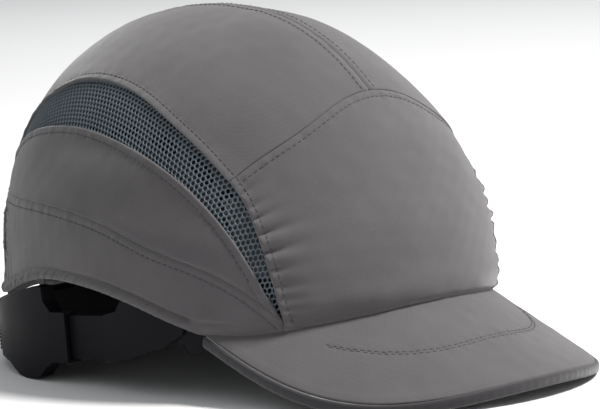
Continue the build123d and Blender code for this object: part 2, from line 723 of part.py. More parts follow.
with BuildPart() as pinion:
    with BuildSketch(rear_face(ARC_Y + CHANNEL_R + 0.2)):
        Circle(PINION_R - 1.4)
        with PolarLocations(0, PINION_TEETH, start_angle=90):
            Polygon((PINION_R - 2, 0.8), (PINION_R + 0.9, 0.4), (PINION_R + 0.9, -0.4), (PINION_R - 2, -0.8),
                    align=None)
    extrude(amount=PINION_W)
    with BuildSketch(rear_face(ARC_Y + CRADLE_R + 0.2)):
        Circle(SHAFT_R)
    extrude(amount=COVER_Y + BASE_T + KNOB_H - 3.0 - CRADLE_R)
    with BuildSketch(rear_face(ARC_Y + COVER_Y + BASE_T + KNOB_H - SCREW_SEAT)):
        Circle(SCREW_R + STUD_FIT)
    extrude(amount=-SCREW_L - 0.5, mode=Mode.SUBTRACT)
save(pinion, "pinion")

with BuildPart() as knob:
    with BuildSketch(rear_face(ARC_Y + COVER_Y + BASE_T + SLOT_GAP)):
        Circle(KNOB_R)
        with PolarLocations(KNOB_R + 0.7, FLUTES):
            Circle(1.3, mode=Mode.SUBTRACT)
    extrude(amount=KNOB_H)
    fillet(knob.edges().group_by(Axis(ADJ.origin, ADJ_REAR))[-1], 0.7)
    with Locations(rear_face(ARC_Y + COVER_Y)):
        Cylinder(SHAFT_R + STUD_FIT, 4 * KNOB_R, mode=Mode.SUBTRACT)
    with BuildSketch(rear_face(ARC_Y + COVER_Y + BASE_T + SLOT_GAP + KNOB_H)):
        Circle(CAP_R)
    extrude(amount=-3.2, mode=Mode.SUBTRACT)
save(knob, "knob")

with BuildPart() as knob_screw:
    with BuildSketch(rear_face(ARC_Y + COVER_Y + BASE_T + KNOB_H - SCREW_SEAT)):
        Circle(SCREW_R)
    extrude(amount=-SCREW_L)
    with BuildSketch(rear_face(ARC_Y + COVER_Y + BASE_T + KNOB_H - SCREW_SEAT)):
        Circle(2.4 * SCREW_R)
    extrude(amount=1.3)
    with BuildSketch(rear_face(ARC_Y + COVER_Y + BASE_T + KNOB_H - 1.5)):
        Rectangle(2.6, 0.6)
        Rectangle(0.6, 2.6)
    extrude(amount=-0.8, mode=Mode.SUBTRACT)
save(knob_screw, "knob_screw")

with BuildPart() as knob_cap:
    with BuildSketch(rear_face(ARC_Y + COVER_Y + BASE_T + SLOT_GAP + KNOB_H)):
        Circle(CAP_R - STUD_FIT)
    extrude(amount=-CAP_T)
    fillet(knob_cap.edges().group_by(Axis(ADJ.origin, ADJ_REAR))[-1], 0.4)
save(knob_cap, "knob_cap")
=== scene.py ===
from math import ceil, cos, pi, radians, sin

import bmesh
import bpy
import numpy as np
from mathutils import Matrix, Vector
from mathutils.bvhtree import BVHTree

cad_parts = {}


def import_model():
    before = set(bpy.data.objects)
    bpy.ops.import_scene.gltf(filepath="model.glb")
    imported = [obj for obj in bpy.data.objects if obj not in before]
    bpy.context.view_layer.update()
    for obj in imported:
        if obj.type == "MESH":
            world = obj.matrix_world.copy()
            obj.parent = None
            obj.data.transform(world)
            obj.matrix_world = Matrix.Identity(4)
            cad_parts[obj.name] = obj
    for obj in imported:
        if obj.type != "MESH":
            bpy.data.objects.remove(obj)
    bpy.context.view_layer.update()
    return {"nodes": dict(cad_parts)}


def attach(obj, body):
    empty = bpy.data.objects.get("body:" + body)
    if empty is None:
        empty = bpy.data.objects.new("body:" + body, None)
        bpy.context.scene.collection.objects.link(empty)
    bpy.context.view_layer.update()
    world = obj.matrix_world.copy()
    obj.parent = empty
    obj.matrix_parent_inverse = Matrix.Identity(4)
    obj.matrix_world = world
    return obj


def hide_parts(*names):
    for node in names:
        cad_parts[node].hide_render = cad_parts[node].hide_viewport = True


# Bump cap: sewn fabric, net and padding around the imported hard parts.
# Lengths are millimetres on the cap's own datum until they are put in a mesh, in metres.
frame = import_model()
NODES = frame["nodes"]

# ---------------------------------------------------------------- the crown surface
# Tilt and place of the cap's own datum in the row's frame
PITCH = radians(5.87)
DATUM = np.array((0.0, 12.03, 20.03))
TURN = np.array(((1, 0, 0), (0, cos(PITCH), -sin(PITCH)), (0, sin(PITCH), cos(PITCH))))

# The crown: its reach to the side, front and back, its widest line, its dome and the outline's power
HALF_WIDTH, FRONT, REAR = 92.0, 99.0, 123.0
WIDEST_Z, CROWN_H, PLAN_POWER = 27.3, 100.6, 2.06
# Powers of the dome's section at the front, the side and the back, and how its top leans back
PROFILE = ((2.24, 1.61), (1.62, 1.88), (2.09, 2.19))
LEAN, LEAN_POWER = 11.7, 1.9
# Millimetres of wall for each unit of chart radius past the widest line
WALL_RATE = CROWN_H * pi / 2
# A place inside the crown, which its normals point away from
HEART = np.array((0.0, 10.0, 30.0))

# Tilt and place of the adjuster's plane, and the centre of the cradle's arc on it
DROP = radians(4.03)
ADJ_ORIGIN = np.array((0.0, 9.46, 21.77))
ADJ_AXES = np.array(((1, 0, 0), (0, cos(DROP), sin(DROP)), (0, -sin(DROP), cos(DROP))))
ARC_Y = 33.5


def world(points):
    """Datum millimetres to row metres."""
    return (np.asarray(points, float) @ TURN.T + DATUM) / 1000


def adj_world(points):
    """Adjuster millimetres to row metres."""
    return (np.asarray(points, float) @ ADJ_AXES.T + ADJ_ORIGIN) / 1000


def unit(v):
    return v / np.maximum(np.linalg.norm(v, axis=-1, keepdims=True), 1e-12)


def arc(points):
    """Running length of a polyline."""
    return np.concatenate(([0], np.cumsum(np.linalg.norm(np.diff(points, axis=0), axis=1))))


def running(grid, axis):
    """Running lengths over a grid of points, down its columns (axis 0) or along its rows (axis 1)."""
    lengths = np.cumsum(np.linalg.norm(np.diff(grid, axis=axis), axis=-1), axis)
    return np.concatenate((np.zeros_like(np.take(lengths, [0], axis)), lengths), axis)


def at_length(where, s, values):
    """Values at running lengths where, of a line that is known at running lengths s."""
    return np.stack([np.interp(where, s, values[:, k]) for k in range(values.shape[1])], -1)


def ring_chart(rho, theta):
    """Chart points at a radius and a plan angle, which grows from the front to the wearer's right."""
    return np.stack((rho * np.sin(theta), -rho * np.cos(theta)), -1)


def plan_scale(side, ahead):
    """How far the plan's rounded outline lies out, in a direction."""
    return (np.abs(side) ** PLAN_POWER + np.abs(ahead) ** PLAN_POWER) ** (-1 / PLAN_POWER)


def crown(chart, inset=0.0):
    """Chart points, a disc with the front at -V and the wearer's right at +U, to points on the crown."""
    u, v = chart[..., 0], chart[..., 1]
    rho, theta = np.hypot(u, v), np.arctan2(u, -v)
    rise = np.sin(np.clip(1 - rho, 0, 1) * pi / 2)
    z = np.where(rho < 1, WIDEST_Z + (CROWN_H - inset) * rise, WIDEST_Z - (rho - 1) * WALL_RATE)
    side, ahead = np.sin(theta), np.cos(theta)
    ends, front = ahead ** 2, ahead > 0
    radius_power = ends * np.where(front, PROFILE[0][0], PROFILE[2][0]) + (1 - ends) * PROFILE[1][0]
    height_power = ends * np.where(front, PROFILE[0][1], PROFILE[2][1]) + (1 - ends) * PROFILE[1][1]
    shrink = (1 - rise ** height_power) ** (1 / radius_power)
    scale = plan_scale(side, ahead) * shrink
    x = -(HALF_WIDTH - inset) * side * scale
    y = -(np.where(front, FRONT, REAR) - inset) * ahead * scale + LEAN * rise ** LEAN_POWER
    return np.stack((x, y, z), -1)


def crown_normal(chart, inset=0.0):
    step = 2e-3
    a = crown(chart + (step, 0), inset) - crown(chart - (step, 0), inset)
    b = crown(chart + (0, step), inset) - crown(chart - (0, step), inset)
    n = unit(np.cross(a, b))
    out = np.sum(n * (crown(chart, inset) - HEART), -1, keepdims=True)
    return n * np.where(out < 0, -1, 1)


def spline(points, count=240):
    """A natural cubic curve through points, evenly sampled by its own length."""
    p = np.asarray(points, float)
    t = arc(p)
    n = len(p)
    if n == 2:
        return p[0] + (p[1] - p[0]) * np.linspace(0, 1, count)[:, None]
    h = np.diff(t)
    a, r = np.eye(n), np.zeros_like(p)
    for i in range(1, n - 1):
        a[i, i - 1:i + 2] = h[i - 1], 2 * (h[i - 1] + h[i]), h[i]
        r[i] = 6 * ((p[i + 1] - p[i]) / h[i] - (p[i] - p[i - 1]) / h[i - 1])
    m = np.linalg.solve(a, r)
    s = np.linspace(0, t[-1], count)
    i = np.clip(np.searchsorted(t, s, side="right") - 1, 0, n - 2)
    w, hi = (s - t[i])[:, None], h[i][:, None]
    slope = (p[i + 1] - p[i]) / hi - hi * (2 * m[i] + m[i + 1]) / 6
    return p[i] + w * slope + w ** 2 * m[i] / 2 + w ** 3 * (m[i + 1] - m[i]) / (6 * hi)


# Plan angles of the wearer's right side, growth of grid steps, how near() divides its work, waves in a ripple
THETAS = np.linspace(0, pi, 1801)
GRID_GROWTH, NEAR_STEP, NEAR_CHUNK, RIPPLE_WAVES = 1.28, 0.8, 4000, 7


def chart_height(z):
    """The chart radius of a height over the datum."""
    if z >= WIDEST_Z:
        return 1 - np.arcsin(min(1.0, (z - WIDEST_Z) / CROWN_H)) * 2 / pi
    return 1 + (WIDEST_Z - z) / WALL_RATE


def seam(side_view):
    """Right-hand chart line of a curve through side view places, cut off where it leaves the crown."""
    out = []
    for y, z in spline(side_view):
        rho = chart_height(z)
        ys = crown(ring_chart(rho, THETAS))[:, 1]
        theta = np.interp(y, ys, THETAS)
        out.append((rho * sin(theta), -rho * cos(theta)))
        if not ys[0] < y < ys[-1] and len(out) > 1:
            break
    return np.array(out)


def sample(chart, t):
    """Chart points at shares t of a chart curve's real length."""
    s = arc(crown(chart))
    s = s + np.arange(len(s)) * 1e-9
    return at_length(np.asarray(t) * s[-1], s, chart)


def graded(length, fine=0.35, coarse=1.25, ends=(True, True)):
    """Shares of a length, closely spaced at its ends and coarser between."""
    steps, step = [], fine
    while step < coarse:
        steps.append(step)
        step *= GRID_GROWTH
    head, tail = (steps if ends[0] else []), (steps[::-1] if ends[1] else [])
    if sum(head) + sum(tail) > 0.8 * length:
        return np.linspace(0, 1, max(3, ceil(length / max(fine * 1.5, coarse / 2)) + 1))
    rest = length - sum(head) - sum(tail)
    count = max(1, round(rest / coarse))
    return np.concatenate(([0], np.cumsum(head + [rest / count] * count + tail))) / length


def coons(bottom, top, left, right, us, vs):
    """Chart grid between four chart curves that meet at their ends; rows follow vs, columns follow us."""
    b, t = sample(bottom, us)[None], sample(top, us)[None]
    l, r = sample(left, vs)[:, None], sample(right, vs)[:, None]
    u, v = us[None, :, None], vs[:, None, None]
    corners = (1 - u) * (1 - v) * b[:, :1] + u * (1 - v) * b[:, -1:] + (1 - u) * v * t[:, :1]
    corners = corners + u * v * t[:, -1:]
    return (1 - v) * b + v * t + (1 - u) * l + u * r - corners


def near(points, curve):
    """Distance of each point from a 3-D polyline, and how far along it the nearest place is."""
    p = points.reshape(-1, 3)
    s = arc(curve)
    s_fine = np.linspace(0, s[-1], max(8, int(s[-1] / NEAR_STEP)))
    c = at_length(s_fine, s, curve)
    start, step = c[:-1], c[1:] - c[:-1]
    d, at = [], []
    for i in range(0, len(p), NEAR_CHUNK):
        q = p[i:i + NEAR_CHUNK]
        k = np.clip(np.argmin(((q[:, None] - c[None]) ** 2).sum(-1), axis=1), 0, len(c) - 1)
        best = np.full(len(q), 1e9)
        where = np.zeros(len(q))
        for shift in (-1, 0):
            j = np.clip(k + shift, 0, len(step) - 1)
            square = np.maximum(np.sum(step[j] ** 2, -1), 1e-12)
            t = np.clip(np.sum((q - start[j]) * step[j], -1) / square, 0, 1)
            dist = np.linalg.norm(q - start[j] - t[:, None] * step[j], axis=-1)
            closer = dist < best
            best = np.where(closer, dist, best)
            where = np.where(closer, s_fine[j] + t * (s_fine[1] - s_fine[0]), where)
        d.append(best)
        at.append(where)
    return np.concatenate(d).reshape(points.shape[:-1]), np.concatenate(at).reshape(points.shape[:-1])


def step01(x):
    x = np.clip(x, 0, 1)
    return x * x * (3 - 2 * x)


def bell(x, centre, width):
    return np.exp(-((x - centre) / width) ** 2)


def wave(s, length, phase=0.0):
    return np.sin(2 * pi * s / length + phase)


def fade(d, reach, power=2):
    """One at an edge, nought at a distance from it."""
    return np.clip(1 - d / reach, 0, 1) ** power


def rounded(d, edge, width, power):
    """A padded thickness: a share at the edge that swells to one inside it."""
    return edge + (1 - edge) * (1 - np.exp(-(d / width) ** power))


def ripple(points, wavelength, seed):
    """Smooth seeded unevenness of about unit size."""
    r = np.random.default_rng(seed)
    total = np.zeros(points.shape[:-1])
    for _ in range(RIPPLE_WAVES):
        direction = unit(r.normal(size=3))
        length = wavelength * r.uniform(0.7, 1.5)
        total += np.sin(points @ direction * 2 * pi / length + r.uniform(0, 2 * pi))
    return total / RIPPLE_WAVES ** 0.5


# ---------------------------------------------------------------- materials
# Noise scales over cloth and over whole pieces, and the weave's share in the shade
SLUB_SCALE, DRIFT_SCALE, BROAD_SCALE, WEAVE_SHADE = 1 / 0.9, 45.0, 40.0, 0.06


def material(name):
    m = bpy.data.materials.new(name)
    m.use_nodes = True
    tree = m.node_tree
    return m, tree, tree.nodes["Principled BSDF"]


def add_node(tree, kind, **sockets):
    node = tree.nodes.new(kind)
    for key, value in sockets.items():
        node.inputs[key.replace("_", " ")].default_value = value
    return node


def math_node(tree, operation, a, b=None):
    node = tree.nodes.new("ShaderNodeMath")
    node.operation = operation
    for k, value in enumerate((a, b)):
        if value is None:
            continue
        if isinstance(value, (int, float)):
            node.inputs[k].default_value = value
        else:
            tree.links.new(value, node.inputs[k])
    return node.outputs[0]


def ramp(tree, value, stops):
    node = tree.nodes.new("ShaderNodeValToRGB")
    while len(node.color_ramp.elements) < len(stops):
        node.color_ramp.elements.new(0.5)
    for element, (at, colour) in zip(node.color_ramp.elements, stops):
        element.position = at
        element.color = (*colour, 1)
    tree.links.new(value, node.inputs[0])
    return node.outputs[0]


def scaled(colour, factor):
    return tuple(min(1.0, c * factor) for c in colour)


def noise(tree, place, scale, detail, roughness=0.6):
    node = add_node(tree, "ShaderNodeTexNoise", Scale=scale, Detail=detail, Roughness=roughness)
    tree.links.new(place, node.inputs["Vector"])
    return node.outputs[0]


def dress(tree, shader, tint, gloss, height, strength, depth):
    """Join colour, roughness and bump to a shader."""
    bump = add_node(tree, "ShaderNodeBump", Strength=strength, Distance=depth)
    tree.links.new(height, bump.inputs["Height"])
    for value, socket in ((tint, "Base Color"), (gloss, "Roughness"), (bump.outputs[0], "Normal")):
        tree.links.new(value, shader.inputs[socket])


def cloth(name, colour, pitch=0.42, weave=0.5, mottle=0.10, fleck=0.10, rough=0.88, sheen=0.35,
          relief=0.00012):
    """Woven cloth: a plain weave in real millimetres, slubs, soft colour drift and a light nap."""
    m, tree, shader = material(name)
    place = add_node(tree, "ShaderNodeTexCoord")
    axes = add_node(tree, "ShaderNodeSeparateXYZ")
    tree.links.new(place.outputs["UV"], axes.inputs[0])
    warp = math_node(tree, "SINE", math_node(tree, "MULTIPLY", axes.outputs[0], pi / pitch))
    weft = math_node(tree, "SINE", math_node(tree, "MULTIPLY", axes.outputs[1], pi / pitch))
    woven = math_node(tree, "MULTIPLY", warp, weft)
    slub = noise(tree, place.outputs["UV"], SLUB_SCALE, 3.0)
    drift = noise(tree, place.outputs["Object"], DRIFT_SCALE, 3.0, 0.55)
    shade = math_node(tree, "ADD", math_node(tree, "MULTIPLY", slub, fleck * 2),
                      math_node(tree, "MULTIPLY", drift, mottle * 2))
    shade = math_node(tree, "ADD", shade, math_node(tree, "MULTIPLY", woven, weave * WEAVE_SHADE))
    low, high = scaled(colour, 1 - fleck - mottle), scaled(colour, 1 + fleck + mottle)
    share = math_node(tree, "DIVIDE", shade, fleck * 2 + mottle * 2)
    tint = ramp(tree, share, [(0.2, low), (0.5, colour), (0.8, high)])
    gloss = ramp(tree, slub, [(0.3, (rough - 0.06,) * 3), (0.7, (rough + 0.05,) * 3)])
    height = math_node(tree, "ADD", math_node(tree, "MULTIPLY", woven, weave), slub)
    dress(tree, shader, tint, gloss, height, 0.55, relief)
    shader.inputs["Sheen Weight"].default_value = sheen
    shader.inputs["Sheen Roughness"].default_value = 0.5
    shader.inputs["Specular IOR Level"].default_value = 0.25
    return m


def solid(name, colour, rough=0.4, spread=0.1, grain=900.0, depth=0.00004, specular=0.5, metal=0.0):
    """Moulded plastic, foam, metal or yarn: fine grain, uneven gloss and soft changes of shade."""
    m, tree, shader = material(name)
    place = add_node(tree, "ShaderNodeTexCoord").outputs["Object"]
    fine, broad = noise(tree, place, grain, 4.0), noise(tree, place, BROAD_SCALE, 4.0)
    tint = ramp(tree, broad, [(0.3, scaled(colour, 0.82)), (0.55, colour), (0.8, scaled(colour, 1.25))])
    mixed = math_node(tree, "ADD", math_node(tree, "MULTIPLY", broad, 0.6),
                      math_node(tree, "MULTIPLY", fine, 0.4))
    gloss = ramp(tree, mixed, [(0.3, (rough - spread,) * 3), (0.7, (rough + spread,) * 3)])
    dress(tree, shader, tint, gloss, fine, 0.5, depth)
    shader.inputs["Metallic"].default_value = metal
    shader.inputs["Specular IOR Level"].default_value = specular
    return m


GREY_CLOTH = cloth("grey_cloth", (0.078, 0.073, 0.0765))
EDGE_CLOTH = cloth("edge_cloth", (0.027, 0.025, 0.028), mottle=0.08)
LINING_CLOTH = cloth("lining_cloth", (0.030, 0.030, 0.034), pitch=0.5, relief=0.0002)
TOWEL = cloth("towelling", (0.026, 0.026, 0.029), pitch=1.1, weave=1.2, fleck=0.2, relief=0.0006, sheen=0.6)
TAPE_CLOTH = cloth("tape_cloth", (0.030, 0.030, 0.034), pitch=0.9, weave=1.2, relief=0.0003)
LABEL_CLOTH = cloth("label_satin", (0.62, 0.61, 0.58), pitch=0.25, rough=0.5, sheen=0.5, relief=0.00005)
PATCH_CLOTH = cloth("patch_cloth", (0.068, 0.064, 0.066), pitch=0.6, weave=0.9, mottle=0.07, relief=0.00018)
NET = solid("net_yarn", (0.070, 0.092, 0.112), 0.5, grain=2600.0, depth=0.00015)
THREAD = solid("thread", (0.036, 0.035, 0.040), 0.55, grain=4000.0, depth=0.00008)
PEAK_THREAD = solid("peak_thread", (0.060, 0.057, 0.062), 0.55, grain=4000.0, depth=0.00008)
DARK_THREAD = solid("dark_thread", (0.05, 0.05, 0.055), 0.6, grain=4000.0, depth=0.00008)
FOAM = solid("foam", (0.024, 0.024, 0.026), 0.9, 0.05, grain=1500.0, depth=0.00025, specular=0.25)
SHELL_PLASTIC = solid("shell_plastic", (0.018, 0.019, 0.021), 0.5, grain=700.0)
BLACK_PLASTIC = solid("adjuster_plastic", (0.0075, 0.0073, 0.0098), 0.5, 0.09, grain=1100.0, specular=0.07)
RACK_PLASTIC = solid("rack_plastic", (0.012, 0.012, 0.014), 0.36, specular=0.3)
KNOB_PLASTIC = solid("knob_plastic", (0.011, 0.011, 0.013), 0.46, grain=800.0, depth=0.00008, specular=0.3)
BOARD = solid("peak_board_plastic", (0.68, 0.68, 0.65), 0.5)
STEEL = solid("rivet_steel", (0.55, 0.55, 0.56), 0.32, grain=1800.0, metal=1.0)


# ---------------------------------------------------------------- mesh making
# Metres within which points are joined and slivers dissolved
MERGE_GAP, SLIVER = 2e-6, 1e-6


def make_mesh(name, points, faces, mat, slot, replaces=(), uv=None, body="cap", sharp=50.0):
    """A piece from row metres. uv is one pair per point."""
    mesh = bpy.data.meshes.new(name)
    mesh.from_pydata(np.asarray(points, float).tolist(), [], [list(map(int, f)) for f in faces])
    if uv is not None:
        layer = mesh.uv_layers.new(name="UVMap")
        loops = np.zeros(len(mesh.loops), np.int32)
        mesh.loops.foreach_get("vertex_index", loops)
        layer.data.foreach_set("uv", np.asarray(uv, np.float32)[loops].ravel())
    work = bmesh.new()
    work.from_mesh(mesh)
    bmesh.ops.remove_doubles(work, verts=work.verts, dist=MERGE_GAP)
    bmesh.ops.dissolve_degenerate(work, edges=work.edges, dist=SLIVER)
    work.to_mesh(mesh)
    work.free()
    mesh.polygons.foreach_set("use_smooth", [True] * len(mesh.polygons))
    mesh.set_sharp_from_angle(angle=radians(sharp))
    mesh.materials.append(mat)
    obj = bpy.data.objects.new(name, mesh)
    bpy.context.scene.collection.objects.link(obj)
    if replaces:
        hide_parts(*replaces)
    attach(obj, body)
    return obj


def grid_faces(rows, columns, flip=False):
    i = np.arange(rows * columns).reshape(rows, columns)
    f = np.stack((i[:-1, :-1], i[:-1, 1:], i[1:, 1:], i[1:, :-1]), -1).reshape(-1, 4)
    return f[:, ::-1] if flip else f


def tube_faces(rings, sides, flip=False, capped=False):
    """Faces between successive rings of points, with the first and last ring filled if capped."""
    faces = []
    for ring in range(rings - 1):
        for k in range(sides):
            a, b = ring * sides + k, ring * sides + (k + 1) % sides
            faces.append((a + sides, b + sides, b, a) if flip else (a, b, b + sides, a + sides))
    if capped:
        faces += [tuple(range(sides - 1, -1, -1)), tuple(range((rings - 1) * sides, rings * sides))]
    return faces


def copies(faces, count, size):
    """The faces of count like pieces of size points each, whose points follow one another."""
    return [tuple(i * size + k for k in f) for i in range(count) for f in faces]


def closed_sheet(name, outer, inner, mat, slot, node, uv, body="cap", to_row=world):
    """A closed sheet from two matching grids of points, outer facing out; both faces take the uv grid."""
    outer, inner = to_row(outer), to_row(inner)
    rows, columns = outer.shape[:2]
    n = rows * columns
    centre = outer[rows // 2, columns // 2]
    a = outer[rows // 2, columns // 2 + 1] - centre
    b = outer[rows // 2 + 1, columns // 2] - centre
    flip = np.dot(np.cross(a, b), centre - inner[rows // 2, columns // 2]) < 0
    i = np.arange(n).reshape(rows, columns)
    rim = np.concatenate((i[0, :], i[1:, -1], i[-1, -2::-1], i[-2:0:-1, 0]))
    after = np.roll(rim, -1)
    wall = np.stack((after, rim, rim + n, after + n), -1)
    wall = wall[:, ::-1] if flip else wall
    faces = np.concatenate((grid_faces(rows, columns, flip), grid_faces(rows, columns, not flip) + n, wall))
    points = np.concatenate((outer.reshape(-1, 3), inner.reshape(-1, 3)))
    return make_mesh(name, points, faces, mat, slot, [node], np.tile(uv.reshape(-1, 2), (2, 1)), body)


def mirrored(points):
    return points * np.array((-1.0, 1.0, 1.0))


def sheet_from_grid(obj, grid):
    """Work out the steps between the grid's datum points along its columns and rows, in metres; nothing is
    kept.
    """
    rows, columns = np.diff(grid, axis=0) / 1000, np.diff(grid, axis=1) / 1000


# Thickness of the panels' cloth, and the height that its back never falls below
CLOTH_T, CLOTH_FLOOR = 1.0, -1.38


class Panel:
    """A patch of the crown between four chart curves: a grid that is lifted off the surface in steps."""

    def __init__(self, bottom, top, left, right, coarse=1.25, u_ends=(True, True)):
        shares = np.linspace(0, 1, 9)
        long = max(arc(crown(bottom))[-1], arc(crown(top))[-1])
        tall = np.linalg.norm(crown(sample(top, shares)) - crown(sample(bottom, shares)), axis=-1).max()
        us, vs = graded(long, coarse=coarse, ends=u_ends), graded(tall, coarse=coarse)
        chart = coons(bottom, top, left, right, us, vs)
        self.base, self.normal = crown(chart), crown_normal(chart)
        self.lift = np.zeros(self.base.shape[:2])
        self.curves = {"bottom": bottom, "top": top, "left": left, "right": right}

    def near(self, curve):
        """Distance and place along a named side or a chart curve."""
        return near(self.base, crown(self.curves[curve] if isinstance(curve, str) else curve))

    def outer(self):
        return self.base + self.normal * self.lift[..., None]

    def build(self, name, node, flip=False):
        """The panel's piece, a stretched sheet on the shell; its uv is millimetres along rows and columns."""
        outer = self.outer()
        inner = self.base + self.normal * np.maximum(self.lift - CLOTH_T, CLOTH_FLOOR)[..., None]
        if flip:
            outer, inner = mirrored(outer), mirrored(inner)
        p = self.base
        v = running(p, 0)
        uv = np.stack((np.broadcast_to(arc(p[p.shape[0] // 2]), v.shape), v), -1)
        obj = closed_sheet(name, outer, inner, GREY_CLOTH, "grey_fabric", node, uv)
        cells = np.linalg.norm(np.cross(np.diff(p[:-1], axis=1), np.diff(p[:, :-1], axis=0)), axis=-1)

    def sew(self, distance, level, skip, by="row", from_end=False, flip=False):
        """Stitch along the outer face where distance crosses level, found once for each row or column."""
        outer, n = self.outer(), self.normal
        if by == "column":
            outer, n, distance = outer.swapaxes(0, 1), n.swapaxes(0, 1), distance.T
        if from_end:
            outer, n, distance = outer[:, ::-1], n[:, ::-1], distance[:, ::-1]
        points, normals = [], []
        for p, q, d in zip(outer, n, distance):
            hit = np.nonzero((d[:-1] < level) & (d[1:] >= level))[0]
            if len(hit):
                k = hit[0]
                t = (level - d[k]) / max(d[k + 1] - d[k], 1e-9)
                points.append(p[k] + (p[k + 1] - p[k]) * t)
                normals.append(q[k])
        stitch("crown", np.array(points), unit(np.array(normals)), skip, flip=flip)


# ---------------------------------------------------------------- stitches
STITCH_LENGTH, STITCH_PITCH, STITCH_SIDES, STITCH_SHIFT = 2.15, 2.75, 6, 0.12
# Rings of a stitch: the share of its half length, the height over the cloth and the radius
RINGS = ((-1.0, -0.16, 0.06), (-0.8, 0.0, 0.17), (-0.4, 0.09, 0.21),
         (0.4, 0.09, 0.21), (0.8, 0.0, 0.17), (1.0, -0.16, 0.06))
stitch_rows = {}


def stitch(group, points, normals, skip=(0.0, 0.0), pitch=STITCH_PITCH, length=STITCH_LENGTH, flip=False):
    """Lay a row of stitches along a line of datum points, or its mirror image, into a named group."""
    if flip:
        points, normals = mirrored(points), mirrored(normals)
    s = arc(points)
    keep = np.concatenate(([True], np.diff(s) > 1e-4))
    s, points, normals = s[keep], points[keep], normals[keep]
    centres = np.arange(skip[0] + pitch / 2, s[-1] - skip[1], pitch)
    if len(centres) == 0 or len(s) < 3:
        return
    r = np.random.default_rng(len(centres))
    centres = centres + r.uniform(-STITCH_SHIFT, STITCH_SHIFT, len(centres))
    n = unit(at_length(centres, s, normals))
    along = unit(at_length(centres + 0.4, s, points) - at_length(centres - 0.4, s, points))
    across = unit(np.cross(n, along))
    verts = []
    for share, height, size in RINGS:
        mid = at_length(centres + share * length / 2, s, points) + n * height
        for k in range(STITCH_SIDES):
            turn = 2 * pi * k / STITCH_SIDES
            verts.append(mid + (across * cos(turn) + n * sin(turn)) * size)
    stitch_rows.setdefault(group, []).append(np.stack(verts, 1))


def build_stitches(group, name, slot, mat=THREAD):
    stitches = np.concatenate(stitch_rows[group])
    faces = copies(tube_faces(len(RINGS), STITCH_SIDES, capped=True), *stitches.shape[:2])
    make_mesh(name, world(stitches.reshape(-1, 3)), faces, mat, slot, sharp=80.0)


# ---------------------------------------------------------------- seam lines
# Each is a run of rearward and upward places in the side view of the wearer's right
MESH_FRONT = [(-73.8, 19), (-69.3, 36), (-61.2, 53.2), (-51.4, 66.3), (-45.6, 71.3)]
MESH_ROOF = [(-45.6, 71.3), (-33.5, 79), (-14, 88), (14, 96.3), (38, 98.4), (59, 95.2), (77, 87), (93, 74),
             (104, 54)]
MESH_FLOOR = [(-73.8, 19), (-67, 32.5), (-58, 46), (-46, 57.8), (-30, 68), (-11, 75.3), (14, 79.9),
              (40, 80.6), (63, 76.8), (85, 68.5), (104, 54)]
FRONT_SEAM = [(-45.6, 71.3), (-49.4, 77.7), (-52.7, 83), (-55.7, 88.3), (-57.3, 96.8), (-56.5, 102.6),
              (-54, 118)]
REAR_SEAM = [(104, 54), (150, 49.5)]
BAND_SEAM = [(-73.8, 19), (-68.6, 24.9), (-56, 33.9), (-40, 39.5), (-23.6, 42.8), (-4, 47.2), (20, 49.6),
             (48, 48.8), (82, 44.9), (150, 40)]
HEM = [(-48.4, 11.6), (-36, 14.8), (-19.6, 19), (0, 21.8), (22, 21.8), (42, 18.9), (60, 12.6), (76, 5.6),
       (92, 0.6), (110, -1.6), (150, -2)]
# The peak's upper face: height before the crown, fall forward, droop to the sides and rear end of its outline
PEAK_TOP, PEAK_SLOPE, PEAK_CURVE, PEAK_BACK = 24.1, 0.323, 0.0044, 48.4
# Its reach before the crown, half width and the power of its outline
PEAK_LENGTH, PEAK_HALF, PEAK_POWER = 59.2, 81.7, 0.684
# How far above the peak the panels end, and the chart radius at which that is worked out
PEAK_GAP, FOOT_RHO = 0.25, 1.05


def peak_height(x, y):
    return PEAK_TOP - PEAK_SLOPE * (-y - FRONT) - PEAK_CURVE * x ** 2


def junction(start, end, count):
    """Chart line where the crown meets the peak, between two plan angles."""
    theta = np.linspace(start, end, count)
    wall = crown(ring_chart(FOOT_RHO, theta))
    z = peak_height(wall[:, 0], wall[:, 1]) + PEAK_GAP
    return ring_chart(1 + (WIDEST_Z - z) / WALL_RATE, theta)


def straight(a, b, count=60):
    t = np.linspace(0, 1, count)[:, None]
    return np.asarray(a) * (1 - t) + np.asarray(b) * t


def other_side(chart):
    return chart * (-1, 1)


def plan_angle(chart_point):
    return float(np.arctan2(chart_point[0], -chart_point[1]))


mesh_front, mesh_roof, mesh_floor = seam(MESH_FRONT), seam(MESH_ROOF), seam(MESH_FLOOR)
front_seam, rear_seam, band_seam, hem = seam(FRONT_SEAM), seam(REAR_SEAM), seam(BAND_SEAM), seam(HEM)
front_seam[-1, 0] = rear_seam[-1, 0] = band_seam[-1, 0] = hem[-1, 0] = 0.0
tip = mesh_front[0]
TIP_ANGLE = plan_angle(tip)
tip_foot = junction(TIP_ANGLE, TIP_ANGLE, 1)[0]
side_junction = junction(TIP_ANGLE, plan_angle(hem[0]), 60)
band_foot = np.concatenate((side_junction[:-1], straight(side_junction[-1], hem[0], 4)[:-1], hem))
centre_line = np.stack((np.zeros(400), np.linspace(front_seam[-1][1], rear_seam[-1][1], 400)), -1)

# Distance of the topstitching from its seam, and the width of the turned hem
SEAM_STITCH, CENTRE_STITCH, HEM_W = 3.3, 3.6, 3.8


def over(d, height=0.42, width=2.4):
    """A folded edge that lies on top: a lip that rounds off at the seam."""
    return height * np.exp(-(d / width) ** 2) - 0.85 * fade(d, 0.55)


def under(d, depth=0.62, width=1.0):
    return -depth * np.exp(-(d / width) ** 2)


